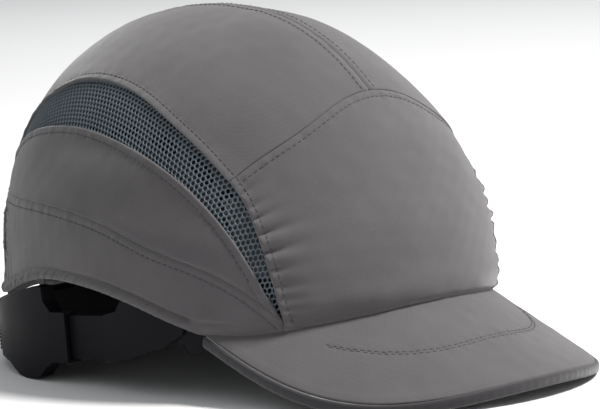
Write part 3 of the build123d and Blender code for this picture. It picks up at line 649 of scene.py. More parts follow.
def allowance(d, s, seed, width=SEAM_STITCH, height=0.2, pull=0.3, pucker=0.16):
    """The pressed seam allowance between a seam and its topstitching, and the pull of the stitches."""
    raised = height * step01((width + 0.25 - d) / 0.6)
    dimple = -pull * bell(d, width, 0.42) * (0.72 + 0.28 * np.cos(2 * pi * s / STITCH_PITCH))
    r = np.random.default_rng(seed)
    puckers = sum(wave(s, w, r.uniform(0, 6)) for w in (5.2, 7.7, 11.3)) / 2
    return raised + dimple + pucker * puckers * bell(d, width * 0.75, 2.6)


# ---------------------------------------------------------------- front panel
# Length of seam that is gathered, how far the gathers reach from it, and their height
GATHER_RUN, GATHER_REACH, GATHER_SIZE = 60.0, 11.0, 1.75


def gathers(d, s, seed):
    """Gathered fullness that runs out of a seam and dies away."""
    r = np.random.default_rng(seed)
    place, total = 3.0, np.zeros_like(d)
    while place < GATHER_RUN - 2:
        gap = r.uniform(4.0, 8.2)
        middle = bell(place, GATHER_RUN * 0.52, GATHER_RUN * 0.24)
        tall = GATHER_SIZE * r.uniform(0.25, 1.0) * (0.45 + 0.75 * middle)
        fan = (place / GATHER_RUN - 0.62) * 0.5
        far = GATHER_REACH * r.uniform(0.7, 1.5)
        ridge = np.exp(-(((s - place - fan * d) / (1.5 + 0.11 * d)) ** 2))
        total += tall * ridge * np.exp(-(d / far) ** 1.6) * step01(d / 1.6 + 0.25)
        valley = np.exp(-(((s - place - gap * 0.45 - fan * d) / (0.8 + 0.07 * d)) ** 2))
        total -= 1.25 * tall * valley * np.exp(-(d / (far * 0.85)) ** 1.6) * step01(d / 1.2 + 0.4)
        place += gap
    return total


front_top = np.concatenate((front_seam, other_side(front_seam)[-2::-1]))
front_left = np.concatenate((straight(tip_foot, tip, 8)[:-1], mesh_front))
front_foot = junction(TIP_ANGLE, -TIP_ANGLE, 400)
panel = Panel(front_foot, front_top, front_left, other_side(front_left), coarse=1.15)
d_top, s_top = panel.near("top")
d_foot = panel.near("bottom")[0]
sides = [panel.near("left"), panel.near("right")]
panel.lift += under(d_top, 0.34) + allowance(d_top, s_top, 3, height=0.12, pull=0.42)
for k, (d, s) in enumerate(sides):
    panel.lift += over(d, 0.5) + allowance(d, s, 5 + k, pull=0.22, pucker=0.1)
    panel.lift += gathers(d, s, 11 + k)
# Fullness above the peak, and the tuck where the cloth meets it
swell = 1.9 * bell(d_foot, 7.5, 6.5) * (0.55 + 0.45 * bell(panel.base[..., 0], 0, 48))
panel.lift += swell - 1.5 * fade(d_foot, 2.4, 1.5)
panel.lift += 0.22 * ripple(panel.base, 34, 21) * step01(d_top / 9) + 0.07 * ripple(panel.base, 9, 22)
panel.build("front_fabric", "front_panel")
panel.sew(d_top, SEAM_STITCH, (2.0, 2.0), "column", True)
panel.sew(sides[0][0], SEAM_STITCH, (4.0, 1.0))
panel.sew(sides[1][0], SEAM_STITCH, (4.0, 1.0), from_end=True)

# ---------------------------------------------------------------- nets
# Spacing of the holes along and across, rows each way from the middle, and points round a hole
NET_ALONG, NET_ACROSS, NET_ROWS, NET_SIDES = 2.35, 2.05, 10, 12
# Rings round a hole, from the outer face through the hole to the inner face: reach and height
NET_RINGS = ((1.0, 0.0), (0.86, -0.06), (0.72, -0.30), (0.72, -0.46), (1.0, -0.52))
# Height of the knots, of the net at its edges, its sag between them, and its lowest height
NET_KNOT, NET_EDGE, NET_SAG, NET_FLOOR = 0.09, -0.42, 0.25, -1.36


def build_net(side_name, flip):
    """A staggered lattice of holes along the middle line of the gap between crown and side panel."""
    us, vs = np.linspace(0, 1, 240), np.linspace(0, 1, 41)
    roof = np.concatenate((mesh_front, mesh_roof[1:]))
    rear = np.repeat(mesh_floor[-1:], 40, 0)
    chart = coons(mesh_floor, roof, np.repeat(tip[None], 40, 0), rear, us, vs)
    base = crown(chart)
    mid_s = arc(base[len(vs) // 2])
    widths = np.linalg.norm(base[-1] - base[0], axis=-1)
    cells = []
    for row in range(-NET_ROWS, NET_ROWS + 1):
        for col in range(int(mid_s[-1] / NET_ALONG) + 2):
            cells.append(((col + 0.5 * (row % 2)) * NET_ALONG, row * NET_ACROSS))
    cells = np.array(cells)
    cell_w = np.interp(cells[:, 0], mid_s, widths)
    cells = cells[(np.abs(cells[:, 1]) < cell_w / 2 + 0.5) & (cell_w > 1.2) & (cells[:, 0] < mid_s[-1])]
    turns = np.radians(np.arange(NET_SIDES) * 30 + 30)
    hexagon = np.array([(cos(t), sin(t), 1 / cos((t + pi / 6) % (pi / 3) - pi / 6)) for t in turns])
    ring = []
    for reach, depth in NET_RINGS:
        if reach == 1.0:
            # The cell's hexagon, shared with its neighbours
            s = hexagon[:, 0] * hexagon[:, 2] * NET_ALONG / 2
            t = hexagon[:, 1] * hexagon[:, 2] * NET_ALONG / 2 * (NET_ACROSS / (NET_ALONG * cos(pi / 6)))
        else:
            s, t = hexagon[:, 0] * NET_ALONG / 2 * reach, hexagon[:, 1] * NET_ALONG / 2 * reach
        knot = NET_KNOT * np.cos(6 * turns) if depth > -0.1 else np.zeros(NET_SIDES)
        ring.append(np.stack((s, t, depth + knot), -1))
    ring = np.concatenate(ring)
    local = cells[:, None, :] + ring[None, :, :2]
    s_at = np.clip(local[..., 0], 0, mid_s[-1])
    width_at = np.maximum(np.interp(s_at, mid_s, widths), 0.3)
    share_v = np.clip(0.5 + local[..., 1] / width_at, 0, 1)
    fu, fv = np.interp(s_at, mid_s, us) * (len(us) - 1), share_v * (len(vs) - 1)
    iu, iv = np.minimum(fu.astype(int), len(us) - 2), np.minimum(fv.astype(int), len(vs) - 2)
    wu, wv = (fu - iu)[..., None], (fv - iv)[..., None]
    where = (chart[iv, iu] * (1 - wu) * (1 - wv) + chart[iv, iu + 1] * wu * (1 - wv)
             + chart[iv + 1, iu] * (1 - wu) * wv + chart[iv + 1, iu + 1] * wu * wv)
    height = np.maximum(NET_EDGE - NET_SAG * np.sin(pi * share_v) + ring[None, :, 2], NET_FLOOR)
    points = crown(where) + crown_normal(where) * height[..., None]
    if flip:
        points = mirrored(points)
    faces = copies(tube_faces(len(NET_RINGS), NET_SIDES, flip), len(cells), len(ring))
    net = make_mesh(f"{side_name}_net", world(points.reshape(-1, 3)), faces, NET, "mesh_fabric",
                    [f"{side_name}_mesh_panel"], sharp=75.0)
    sheet_from_grid(net, base)


# ---------------------------------------------------------------- crown, side and lower band panels
roof_line = np.concatenate((mesh_roof, rear_seam[1:]))
floor_line = np.concatenate((mesh_floor, rear_seam[1:]))
whole_hem = np.concatenate((hem, other_side(hem)[::-1]))
for side_name, flip, seed in (("right", False, 30), ("left", True, 40)):
    # Crown panel, between the net, the centre line and the front panel
    panel = Panel(roof_line, centre_line, front_seam, np.repeat(rear_seam[-1:], 60, 0), u_ends=(True, False))
    d_roof, s_roof = panel.near("bottom")
    d_mid, s_mid = panel.near("top")
    panel.lift += over(d_roof, 0.5) + allowance(d_roof, s_roof, seed)
    panel.lift += under(d_mid, 0.55, 0.8) + allowance(d_mid, s_mid, seed + 1, CENTRE_STITCH, pucker=0.08)
    panel.lift += over(panel.near("left")[0], 0.16)
    panel.lift += 0.3 * ripple(panel.base, 48, seed + 2) * step01(d_roof / 12) * step01(d_mid / 12)
    panel.lift += 0.05 * ripple(panel.base, 10, seed + 3)
    panel.build(f"{side_name}_crown_fabric", f"{side_name}_crown_panel", flip)
    panel.sew(d_roof, SEAM_STITCH, (1.0, 6.0), "column", flip=flip)
    panel.sew(d_mid, CENTRE_STITCH, (1.0, 8.0), "column", True, flip)

    # Side panel, between the lower band, the net and the rear seam
    rear_edge = straight(band_seam[-1], rear_seam[-1])
    panel = Panel(band_seam, floor_line, np.repeat(band_seam[:1], 60, 0), rear_edge, u_ends=(False, True))
    d_floor, s_floor = panel.near(mesh_floor)
    d_rear, d_band = panel.near(rear_seam)[0], panel.near("bottom")[0]
    panel.lift += over(d_floor, 0.5) + allowance(d_floor, s_floor, seed + 5)
    panel.lift += np.where(d_rear < d_floor, under(d_rear), 0)
    panel.lift += over(d_band, 0.4, 1.1) + under(panel.near("right")[0], 0.4, 0.8)
    panel.lift += 0.42 * ripple(panel.base, 42, seed + 6) * step01(d_floor / 9) * step01(d_band / 9)
    hollow = -0.9 * bell(panel.base[..., 1], -16, 20) * bell(panel.base[..., 2], 58, 9) * step01(d_band / 10)
    panel.lift += hollow + 0.06 * ripple(panel.base, 11, seed + 7)
    panel.build(f"{side_name}_side_fabric", f"{side_name}_side_panel", flip)
    panel.sew(d_floor, SEAM_STITCH, (9.0, 2.0), "column", True, flip)

    # Lower band, from the peak and the hem up to the side panel
    band_rear = straight(hem[-1], band_seam[-1])
    panel = Panel(band_foot, band_seam, straight(tip_foot, tip), band_rear, coarse=1.15)
    d_top, s_top = panel.near("top")
    d_hem, s_hem = panel.near(hem)
    d_peak = panel.near(side_junction)[0]
    y, z = panel.base[..., 1], panel.base[..., 2]
    behind = step01((y + 46) / 5)
    panel.lift += under(d_top, 0.34, 0.8) + allowance(d_top, s_top, seed + 9, height=0.14, pull=0.24)
    panel.lift += under(panel.near("left")[0], 0.5, 0.8) + under(panel.near("right")[0], 0.4, 0.8)
    # The turned hem: its roll, the line of its stitches and its puckers
    roll = np.sin(pi * np.clip((d_hem + 0.6) / (HEM_W + 0.9), 0, 1)) ** 0.75
    panel.lift += behind * (0.95 * roll * (d_hem < HEM_W + 0.3) - 0.5 * bell(d_hem, HEM_W + 0.5, 0.7))
    pucker = wave(s_hem + 0.9 * d_hem, 3.1, 0.6 * np.sin(s_hem / 7)) + 0.6 * wave(s_hem + d_hem, 5.3)
    panel.lift += behind * 0.34 * pucker * bell(d_hem, 2.0, 2.2)
    # Upright ribs over the elastic at the back
    upright = panel.near(whole_hem)[1]
    ribs = wave(upright, 3.3, 1.2 * np.sin(upright / 9 + z / 11)) + 0.5 * wave(upright, 5.9, z / 14)
    panel.lift += 0.42 * step01((y - 62) / 30) * ribs * step01(d_top / 6) * step01(d_hem / 5)
    # Fullness above the peak's end, the tuck below it and its folds
    panel.lift += (1 - behind) * (1.1 * bell(d_peak, 6.5, 4.5) - 0.9 * fade(d_peak, 2.0, 1.5))
    folds = -0.5 * bell(d_peak, 5.4, 0.9) + 0.4 * bell(d_peak, 7.2, 1.3) + 0.3 * bell(d_peak, 3.2, 1.2)
    panel.lift += bell(y, -50, 9) * folds
    free = step01(d_top / 8) * step01(np.minimum(d_hem, d_peak) / 8)
    panel.lift += 0.3 * ripple(panel.base, 36, seed + 10) * free + 0.06 * ripple(panel.base, 9, seed + 11)
    panel.build(f"{side_name}_band_fabric", f"{side_name}_lower_band", flip)
    panel.sew(d_top, SEAM_STITCH + 0.3, (3.0, 2.0), "column", True, flip)

    build_net(side_name, flip)

# ---------------------------------------------------------------- peak
# Thickness of the whole peak and of its covers, and how far its inner edge is tucked under the crown
PEAK_T, COVER_T, PEAK_TUCK, PEAK_TURN = 3.8, 0.85, 5.0, radians(58)
# Width of the edge binding, gap between the two stitched rows, and how far they run to each side
BINDING_W, ROW_GAP, PEAK_ROW_X = 1.4, 1.7, 56.5


def on_peak(x, y):
    return np.stack((x, y, peak_height(x, y)), -1)


def even_plan(x, y, count):
    """Plan points evenly spaced along a line that lies on the peak."""
    s = arc(on_peak(x, y))
    return at_length(np.linspace(0, s[-1], count), s, np.stack((x, y), -1))


def peak_outer(count, inset=0.0):
    """Plan of the peak's outer edge, evenly spaced, from the right end round to the left end."""
    psi = np.linspace(-pi / 2, pi / 2, 2001)
    reach = FRONT + PEAK_LENGTH - inset - PEAK_BACK
    y = -PEAK_BACK - reach * np.abs(np.cos(psi)) ** PEAK_POWER
    return even_plan((PEAK_HALF - inset) * np.sin(psi), y, count)


def peak_inner(count):
    """Plan of the peak's inner edge, in the same order."""
    theta = np.linspace(PEAK_TURN, -PEAK_TURN, 801)
    side, ahead = np.sin(theta), np.cos(theta)
    scale = plan_scale(side, ahead)
    return even_plan(-(HALF_WIDTH - PEAK_TUCK) * side * scale, -(FRONT - PEAK_TUCK) * ahead * scale, count)


def peak_row(x):
    """How far forward the reinforcing stitches run, at a side position."""
    return -127.2 + 24.5 * (np.abs(x) / 50.0) ** 3.1


outer_line, inner_line = peak_outer(300, BINDING_W - 0.15), peak_inner(300)
vs = graded(np.linalg.norm(outer_line - inner_line, axis=-1).max(), 0.3, 1.3)[:, None, None]
plan = inner_line[None] * (1 - vs) + outer_line[None] * vs
px, py = plan[..., 0], plan[..., 1]
flat_base = on_peak(px, py)
slopes = 2 * PEAK_CURVE * px, -PEAK_SLOPE * np.ones_like(py), np.ones_like(px)
peak_normal = unit(np.stack(slopes, -1))
d_edge = near(flat_base, on_peak(*outer_line.T))[0]
row_x = np.linspace(-PEAK_ROW_X, PEAK_ROW_X, 240)
peak_rows = [on_peak(row_x, peak_row(row_x) + gap) for gap in (-ROW_GAP / 2, ROW_GAP / 2)]
lift = -0.55 * fade(d_edge, 0.8) + 0.12 * bell(d_edge, 3.0, 1.6)
lift += 0.16 * ripple(flat_base, 40, 71) * step01(d_edge / 8) + 0.05 * ripple(flat_base, 10, 72)
under_lift = -0.45 * fade(d_edge, 0.8) + 0.15 * ripple(flat_base, 35, 75) * step01(d_edge / 8)
for k, row in enumerate(peak_rows):
    d, s = near(flat_base, row)
    lift += -0.18 * bell(d, 0, 0.5) * (0.7 + 0.3 * np.cos(2 * pi * s / STITCH_PITCH))
    lift += 0.06 * wave(s, 6.1, k) * bell(d, 0, 3.0)
    under_lift += -0.3 * bell(d, 0, 0.5)
under_base = flat_base - np.array((0, 0, PEAK_T))
top_points = flat_base + peak_normal * lift[..., None]
under_points = under_base - peak_normal * under_lift[..., None]
for side_name, face, base, back in (("top", top_points, flat_base, flat_base - peak_normal * COVER_T),
                                    ("under", under_points, under_base, under_base + peak_normal * COVER_T)):
    cover = closed_sheet(f"peak_{side_name}_fabric", face, back, GREY_CLOTH, "grey_fabric",
                         f"peak_{side_name}_cover", plan)
    sheet_from_grid(cover, base)


def surface_tree(grid):
    return BVHTree.FromPolygons(grid.reshape(-1, 3).tolist(), grid_faces(*grid.shape[:2]).tolist())


def drop_on(tree, points, way):
    """Datum points moved up or down onto a surface, with its normals turned to face way."""
    out, normals = [], []
    for p in points:
        hit, n, _, _ = tree.ray_cast(Vector(p) - way * -20, way * -1)
        if hit is None:
            continue
        out.append(hit)
        normals.append(n if n.dot(way) > 0 else -n)
    return np.array(out), np.array(normals)


top_tree, under_tree = surface_tree(top_points), surface_tree(under_points)
for row in peak_rows:
    stitch("peak", *drop_on(top_tree, row, Vector((0, 0, 1))))
    stitch("peak", *drop_on(under_tree, row, Vector((0, 0, -1))))

# The edge binding: a rounded strip folded round the peak's edge, as places outward and upward of it
BINDING_PROFILE = ((-1.75, 0.06), (-1.1, 0.30), (-0.45, 0.26), (0.02, -0.15), (0.22, -0.9), (0.27, -1.9),
                   (0.22, -2.9), (0.02, -3.65), (-0.45, -4.06), (-1.1, -4.10), (-1.75, -3.86), (-1.75, -1.9))
edge = on_peak(*peak_outer(360).T)
outward = unit(np.cross(unit(np.gradient(edge, axis=0)), (0, 0, 1.0)))
outward *= np.sign(np.sum(outward * (edge - (0, -80, 0)), -1, keepdims=True))
s_edge = arc(edge)
wobble = 0.05 * wave(s_edge, 4.3) + 0.04 * wave(s_edge, 11.7, 1)
rings = []
for a, b in BINDING_PROFILE:
    rings.append(edge + outward * (a + wobble * (a > -1.2))[:, None] + np.array((0, 0, 1.0)) * b)
rings = np.stack(rings, 1)
count, per = rings.shape[:2]
uv = np.stack((np.repeat(s_edge, per), np.tile(arc(np.array(BINDING_PROFILE)), count)), -1)
make_mesh("peak_edge_binding", world(rings.reshape(-1, 3)), tube_faces(count, per, capped=True), EDGE_CLOTH,
          "edge_fabric", ["peak_binding"], uv)

build_stitches("crown", "crown_stitching", "grey_fabric")
build_stitches("peak", "peak_stitching", "grey_fabric", PEAK_THREAD)


# ---------------------------------------------------------------- pads, bands, lining, patch, tape and label
def solve_chart(target, axes, start, inset):
    """Chart points whose place on the crown has the given pair of coordinates."""
    chart = np.broadcast_to(np.asarray(start, float), target.shape).copy()
    step = 1e-4
    for _ in range(14):
        here = crown(chart, inset)[..., axes]
        du = (crown(chart + (step, 0), inset)[..., axes] - here) / step
        dv = (crown(chart + (0, step), inset)[..., axes] - here) / step
        gap = target - here
        det = du[..., 0] * dv[..., 1] - du[..., 1] * dv[..., 0]
        det = np.where(np.abs(det) < 1e-6, 1e-6, det)
        move = np.stack((gap[..., 0] * dv[..., 1] - gap[..., 1] * dv[..., 0],
                         gap[..., 1] * du[..., 0] - gap[..., 0] * du[..., 1]), -1) / det[..., None]
        chart += np.clip(move, -0.2, 0.2)
    return chart


def rounded_rectangle(width, height, radius):
    """Edge of a rounded rectangle about the middle, as 160 evenly spaced points."""
    corner = []
    for k in range(4):
        cx, cy = (width / 2 - radius) * (1, -1, -1, 1)[k], (height / 2 - radius) * (1, 1, -1, -1)[k]
        for t in np.linspace(0, pi / 2, 16):
            corner.append((cx + radius * cos(t + k * pi / 2), cy + radius * sin(t + k * pi / 2)))
    p = np.array(corner + corner[:1])
    s = arc(p)
    return at_length(np.linspace(0, s[-1], 160, endpoint=False), s, p)


# Thickness of the pads, depth of their backs in the crown, gap of a glued back, and fill of the padding
PAD_T, PAD_INSET, GLUE, SOFT_FILL = 5.0, 3.8, 0.02, 0.6
# Distances from a pad's edge at which its front is shaped
PAD_STEPS = np.array((0, 0.15, 0.5, 1.1, 2.0, 3.0, 3.6, 4.2, 5.0, 6.2, 8.0, 10.5))
# Place, width, height and corner radius, centre, the two axes these lie along, and a start for the search
PADS = (("crown", (56, 104, 14), (0, 8), [0, 1], (0, 0.01)),
        ("front", (72, 22, 8), (0, 68), [0, 2], (0, -0.7)),
        ("rear", (72, 22, 8), (0, 68), [0, 2], (0, 0.7)),
        ("right", (84, 20, 8), (8, 66), [1, 2], (0.7, 0.02)),
        ("left", (84, 20, 8), (8, 66), [1, 2], (0.7, 0.02)))


def pad_piece(place, size, centre, axes, start):
    """A foam pad on the inside of the shell: flat back, rounded and quilted front."""
    name, flip = f"{place}_foam", place == "left"
    edge = rounded_rectangle(*size)
    short = min(size[:2]) / 2
    shares = np.concatenate((1 - PAD_STEPS[PAD_STEPS < short - 1] / short, np.linspace(0.55, 0, 6)))
    shares = np.unique(np.round(shares, 4))[::-1]
    flat = edge[None] * shares[:, None, None] + np.asarray(centre, float)
    chart = solve_chart(flat, axes, start, PAD_INSET)
    base, normal = crown(chart, PAD_INSET), crown_normal(chart, PAD_INSET)
    d = (1 - shares)[:, None] * short * np.ones(edge.shape[0])
    front = PAD_T * rounded(d, 0.30, 1.9, 1.1)
    front += -0.9 * bell(d, 3.7, 0.75) + 0.25 * step01((d - 4) / 6) + 0.12 * ripple(base, 17, len(name))
    inner = base - normal * np.minimum(front, PAD_T + 0.25)[..., None]
    stack = np.concatenate(((base - normal * GLUE)[::-1], inner))
    if flip:
        stack = mirrored(stack)
    uv = np.concatenate((flat[::-1], flat)).reshape(-1, 2)
    piece = make_mesh(name, world(stack.reshape(-1, 3)), tube_faces(*stack.shape[:2], flip), FOAM, "foam",
                      [f"{place}_pad"], uv)


for pad in PADS:
    pad_piece(*pad)


def wall_line(thetas, height_of, inset):
    """Chart points round the wall at plan angles, at heights given by a function of the place."""
    rho = np.ones(len(thetas))
    for _ in range(12):
        z = height_of(crown(ring_chart(rho, thetas), inset))
        rise = np.clip((z - WIDEST_Z) / (CROWN_H - inset), 0, 1)
        rho = np.where(z >= WIDEST_Z, 1 - np.arcsin(rise) * 2 / pi, 1 + (WIDEST_Z - z) / WALL_RATE)
    return ring_chart(rho, thetas)


def hem_height(p):
    line = spline(HEM, 400)
    return np.interp(p[..., 1], line[:, 0], line[:, 1])


def angle_at(y):
    """Plan angle of the right-hand wall at a rearward position."""
    ys = crown(ring_chart(chart_height(30.0), THETAS))[:, 1]
    return float(np.interp(y, ys, THETAS))


def band_piece(name, node, thetas, low, high, inset, mat, slot, relief, outward=False):
    """A strip round the wall between two heights, with relief on its inner or its outward face."""
    bottom, top = wall_line(thetas, low, inset), wall_line(thetas, high, inset)
    tall = np.linalg.norm(crown(bottom, inset) - crown(top, inset), axis=-1).max()
    vs = graded(tall, 0.3, 1.0)[:, None, None]
    chart = bottom[None] * (1 - vs) + top[None] * vs
    base, normal = crown(chart, inset), crown_normal(chart, inset)
    along, height = running(base, 1), running(base, 0)
    d = np.minimum(np.minimum(height, height[-1:] - height), np.minimum(along, along[:, -1:] - along))
    lift = relief(d, along, base)
    glued = base - normal * GLUE
    if outward:
        face, facing = base + normal * lift[..., None], normal
        sheets = face, glued
    else:
        face, facing = base - normal * np.maximum(lift, 0.2)[..., None], -normal
        sheets = glued, face
    uv = np.stack((along, height), -1)
    piece = closed_sheet(name, *sheets, mat, slot, node, uv)
    return piece, face, facing, d


# The sweatband's depth in the crown, its thickness, top and stitched rows; the pitch of the binding's ribs
SWEAT_INSET, SWEAT_T, SWEAT_TOP, SWEAT_ROW, RIB = 6.5, 2.5, 52.0, 3.4, 1.55
# Half width of the patch, its lower and upper height, and its stitches' distance from the edge
PATCH_HALF, PATCH_LOW, PATCH_TOP, PATCH_ROW = 61.0, 18.0, 36.0, 1.9


def above_peak(p):
    """Height just above the peak where there is one, and out of the way behind it."""
    return np.where(p[..., 1] < -PEAK_BACK, peak_height(p[..., 0], p[..., 1]) + 1.6, -99.0)


def level(z):
    return lambda p: np.full(p.shape[:-1], z)


def sweat_low(p):
    return np.maximum(hem_height(p) + 2.5, above_peak(p))


def sweat_relief(d, along, base):
    lift = SWEAT_T * rounded(d, 0.45, 1.3, 1.2) - 0.55 * bell(d, SWEAT_ROW, 0.5)
    return lift + 0.10 * ripple(base, 9, 61) + 0.06 * wave(along, 7.3)


def headband_relief(d, along, base):
    return 2.35 * rounded(d, 0.5, 1.5, 1.3) + 0.05 * ripple(base, 8, 62)


def lining_relief(d, along, base):
    return 1.2 * (0.6 + 0.4 * step01(d / 0.8)) + 0.14 * ripple(base, 14, 63) - 0.35 * bell(d, 2.2, 0.4)


def lining_high(p):
    return np.interp(p[..., 1], (42, 60, 150), (31, 30.5, 25))


def binding_relief(d, along, base):
    ribs = 0.5 + 0.5 * wave(along, RIB)
    return 1.4 * (0.55 + 0.45 * step01(d / 0.9)) * (0.72 + 0.28 * ribs)


def patch_relief(d, along, base):
    return 0.95 * rounded(d, 0.35, 0.7, 1.4) - 0.30 * bell(d, PATCH_ROW, 0.4) + 0.05 * ripple(base, 12, 64)


# The padded towelling of the sweatband, with a row of stitches along each edge
rear_angle = angle_at(42.0)
sweat_thetas = np.linspace(rear_angle, -rear_angle, 520)
piece, face, normal, d = band_piece("sweatband_towelling", "sweatband", sweat_thetas, sweat_low,
                                    level(SWEAT_TOP), SWEAT_INSET, TOWEL, "lining_fabric", sweat_relief)
first, last = int(np.argmax(d[:, 260] >= SWEAT_ROW)), int(np.argmax(d[::-1, 260] >= SWEAT_ROW))
for row in (first, len(d) - 1 - last):
    stitch("inside", face[row, 6:-6], normal[row, 6:-6], pitch=3.4, length=2.6)

# The headband's foam behind it
head_angle = angle_at(-54.0)
band_piece("headband_foam", "headband", np.linspace(head_angle, -head_angle, 260), above_peak, level(50.0),
           3.8, FOAM, "foam", headband_relief)

# The rear lining, sewn along its upper edge
rear_thetas = np.linspace(rear_angle, 2 * pi - rear_angle, 420)
piece, face, normal, d = band_piece("rear_lining_cloth", "rear_lining", rear_thetas,
                                    lambda p: hem_height(p) + 5.3, lining_high, 1.5, LINING_CLOTH,
                                    "lining_fabric", lining_relief)
sheet_from_grid(piece, face)
stitch("inside", face[-5, 8:-8], normal[-5, 8:-8], pitch=3.0)

# The ribbed binding under the rear hem
band_piece("rear_edge_binding", "rear_binding", np.linspace(rear_angle, 2 * pi - rear_angle, 1200),
           lambda p: hem_height(p) - 2.2, lambda p: hem_height(p) + 5.0, 1.35, TAPE_CLOTH, "lining_fabric",
           binding_relief)

# The blank patch at the back, sewn round its edge
plan_rear = crown(ring_chart(1, THETAS))
rear_half = THETAS > pi / 2
patch_angle = float(np.interp(PATCH_HALF, (-plan_rear[rear_half, 0])[::-1], THETAS[rear_half][::-1]))
patch_thetas = np.linspace(patch_angle, 2 * pi - patch_angle, 220)
piece, face, normal, d = band_piece("rear_patch_cloth", "rear_patch", patch_thetas, level(PATCH_LOW),
                                    level(PATCH_TOP), 0.0, PATCH_CLOTH, "patch_fabric", patch_relief,
                                    outward=True)
sheet_from_grid(piece, face)
row = int(np.argmax(d[:, 110] >= PATCH_ROW))
for line in (row, len(d) - 1 - row):
    stitch("patch", face[line, 3:-3], normal[line, 3:-3], pitch=2.4, length=1.9)
for line in (3, -4):
    stitch("patch", face[row:-row, line], normal[row:-row, line], pitch=2.4, length=1.9)

# Seam tape down the inside of the centre line, dented along both edges
TAPE_INSET = 1.2
tape_v = np.linspace(front_seam[-1][1] + 0.03, rear_seam[-1][1] - 0.06, 260)
tape_x = np.concatenate(([-6, -5.7], np.linspace(-5, 5, 11), [5.7, 6]))[:, None]
tape_y = crown(np.stack((np.zeros_like(tape_v), tape_v), -1), TAPE_INSET)[:, 1]
tape_target = np.stack(np.broadcast_arrays(tape_x, tape_y), -1)
tape_start = np.stack(np.broadcast_arrays(-tape_x / HALF_WIDTH * 0.6, tape_v[None]), -1)
tape_chart = solve_chart(tape_target, [0, 1], tape_start, TAPE_INSET)
tape_base = crown(tape_chart, TAPE_INSET)
tape_lift = 0.24 - 0.1 * bell(np.abs(tape_x), 4.6, 0.5) + 0.02 * ripple(tape_base, 6, 65)
tape_face = tape_base - crown_normal(tape_chart, TAPE_INSET) * tape_lift[..., None]
tape_uv = np.stack(np.broadcast_arrays(arc(tape_base[len(tape_x) // 2])[None], tape_x), -1)
tape = closed_sheet("centre_seam_tape", tape_base, tape_face, TAPE_CLOTH, "lining_fabric", "seam_tape",
                    tape_uv)
sheet_from_grid(tape, tape_base)

# The blank size label inside the left rear, dented round its edge
LABEL_INSET, LABEL_HALF, LABEL_Y, LABEL_Z = 3.0, (13, 6.5), 76, 20.5
label_uv = np.stack(np.meshgrid(*(np.linspace(-half, half, n) for half, n in zip(LABEL_HALF, (40, 22)))), -1)
label_chart = solve_chart(label_uv + (LABEL_Y, LABEL_Z), [1, 2], (0.85, 0.55), LABEL_INSET)
label_base = crown(label_chart, LABEL_INSET)
label_edge = np.min(LABEL_HALF - np.abs(label_uv), -1)
label_lift = 0.22 + 0.15 * step01(label_edge / 0.8) - 0.1 * bell(label_edge, 1.4, 0.35)
label_lift += 0.03 * ripple(label_base, 7, 66)
label_face = label_base - crown_normal(label_chart, LABEL_INSET) * label_lift[..., None]
label = closed_sheet("blank_size_label", mirrored(label_base), mirrored(label_face), LABEL_CLOTH,
                     "label_fabric", "size_label", label_uv)
sheet_from_grid(label, label_base)

# The nape pad, a soft strip along the inside of the cradle
NAPE_R, NAPE_T, NAPE_HALF, NAPE_TURN = 80.0, 3.2, 9.0, 40
nape_turn, nape_z = np.meshgrid(np.radians(np.linspace(90 - NAPE_TURN, 90 + NAPE_TURN, 150)),
                                NAPE_HALF * (2 * graded(2 * NAPE_HALF, 0.3, 1.0) - 1))
nape_side = np.radians(NAPE_TURN) * NAPE_R - np.abs(nape_turn - pi / 2) * NAPE_R
nape_d = np.maximum(np.minimum(NAPE_HALF - np.abs(nape_z), nape_side), 0)
nape_t = NAPE_T * rounded(nape_d, 0.35, 1.6, 1.2) - 0.5 * bell(nape_d, 3.0, 0.5)
nape_t = np.minimum(nape_t + 0.08 * np.sin(nape_turn * NAPE_R / 2.1) * bell(nape_d, 3.0, 2.0), NAPE_T)


def nape_points(radius):
    return np.stack((radius * np.cos(nape_turn), ARC_Y + radius * np.sin(nape_turn), nape_z), -1)


nape_foam = closed_sheet("nape_foam", nape_points(NAPE_R), nape_points(NAPE_R - nape_t), LINING_CLOTH, "foam",
                         "nape_pad", np.stack((nape_turn * NAPE_R, nape_z), -1), "cradle", adj_world)

build_stitches("inside", "inner_stitching", "lining_fabric", DARK_THREAD)
build_stitches("patch", "patch_stitching", "patch_fabric")

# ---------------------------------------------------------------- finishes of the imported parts
FINISH = {"inner_shell": SHELL_PLASTIC, "peak_board": BOARD, "detent_ring": RACK_PLASTIC,
          "pinion": RACK_PLASTIC, "knob": KNOB_PLASTIC, "knob_cap": KNOB_PLASTIC, "knob_screw": STEEL,
          "detent_spring": STEEL}
for name, obj in NODES.items():
    by_kind = STEEL if "rivet" in name else RACK_PLASTIC if "rack" in name else BLACK_PLASTIC
    obj.data.materials.clear()
    obj.data.materials.append(FINISH.get(name, by_kind))

# ---------------------------------------------------------------- stage, light and camera
FLOOR_HALF = 9
floor_mesh = bpy.data.meshes.new("floor")
floor_corners = [(x * FLOOR_HALF, y * FLOOR_HALF, 0) for x, y in ((-1, -1), (1, -1), (1, 1), (-1, 1))]
floor_mesh.from_pydata(floor_corners, [], [(0, 1, 2, 3)])
floor_mat, _, floor_shader = material("pale_floor")
floor_shader.inputs["Base Color"].default_value = (0.86, 0.86, 0.86, 1)
floor_shader.inputs["Roughness"].default_value = 0.9
floor_shader.inputs["Specular IOR Level"].default_value = 0.1
floor_mesh.materials.append(floor_mat)
floor_obj = bpy.data.objects.new("floor", floor_mesh)
bpy.context.scene.collection.objects.link(floor_obj)

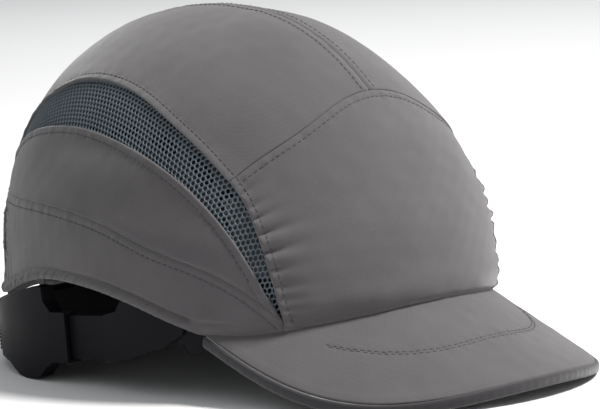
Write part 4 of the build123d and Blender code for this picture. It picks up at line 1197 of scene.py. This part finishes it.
scene = bpy.context.scene
scene.view_settings.view_transform = "Standard"
backdrop = bpy.data.worlds.new("studio")
scene.world = backdrop
backdrop.use_nodes = True
backdrop.node_tree.nodes["Background"].inputs[0].default_value = (0.96, 0.98, 1.0, 1)
backdrop.node_tree.nodes["Background"].inputs[1].default_value = 0.5

CAP_CENTRE = (0, 0, 0.07)


def area_light(name, position, size, energy, colour=(1, 1, 1)):
    """A round light that faces the middle of the cap."""
    light = bpy.data.lights.new(name, "AREA")
    light.shape, light.size, light.energy, light.color = "DISK", size, energy, colour
    obj = bpy.data.objects.new(name, light)
    scene.collection.objects.link(obj)
    obj.location = position
    obj.rotation_mode = "QUATERNION"
    obj.rotation_quaternion = (Vector(CAP_CENTRE) - Vector(position)).to_track_quat("-Z", "Y")


area_light("key", (0.62, -0.85, 1.62), 0.55, 54, (1.0, 0.985, 0.965))
area_light("rim", (1.4, 1.2, 1.0), 0.9, 3)

# The camera: its turns about the datum, target, distance, focal length in picture widths and sensor
VIEW_AZ, VIEW_EL, VIEW_ROLL = radians(-46.21), radians(11.70), radians(2.075)
VIEW_TARGET = np.array((0.0, -20.11, 49.74))
VIEW_DISTANCE, VIEW_FOCAL, SENSOR = 1463.25, 3541.5 / 600, 36.0
back = np.array((sin(VIEW_AZ) * cos(VIEW_EL), -cos(VIEW_AZ) * cos(VIEW_EL), sin(VIEW_EL)))
right = unit(np.cross(-back, (0, 0, 1.0)))
up = np.cross(right, -back)
right, up = cos(VIEW_ROLL) * right + sin(VIEW_ROLL) * up, -sin(VIEW_ROLL) * right + cos(VIEW_ROLL) * up
camera = bpy.data.objects.new("camera", bpy.data.cameras.new("camera"))
scene.collection.objects.link(camera)
camera.data.sensor_width = SENSOR
camera.data.lens = VIEW_FOCAL * SENSOR
camera.data.clip_start, camera.data.clip_end = 0.05, 60
matrix = Matrix(np.stack((TURN @ right, TURN @ up, TURN @ back), 1).tolist()).to_4x4()
matrix.translation = Vector(world(VIEW_TARGET + back * VIEW_DISTANCE))
camera.matrix_world = matrix
scene.camera = camera
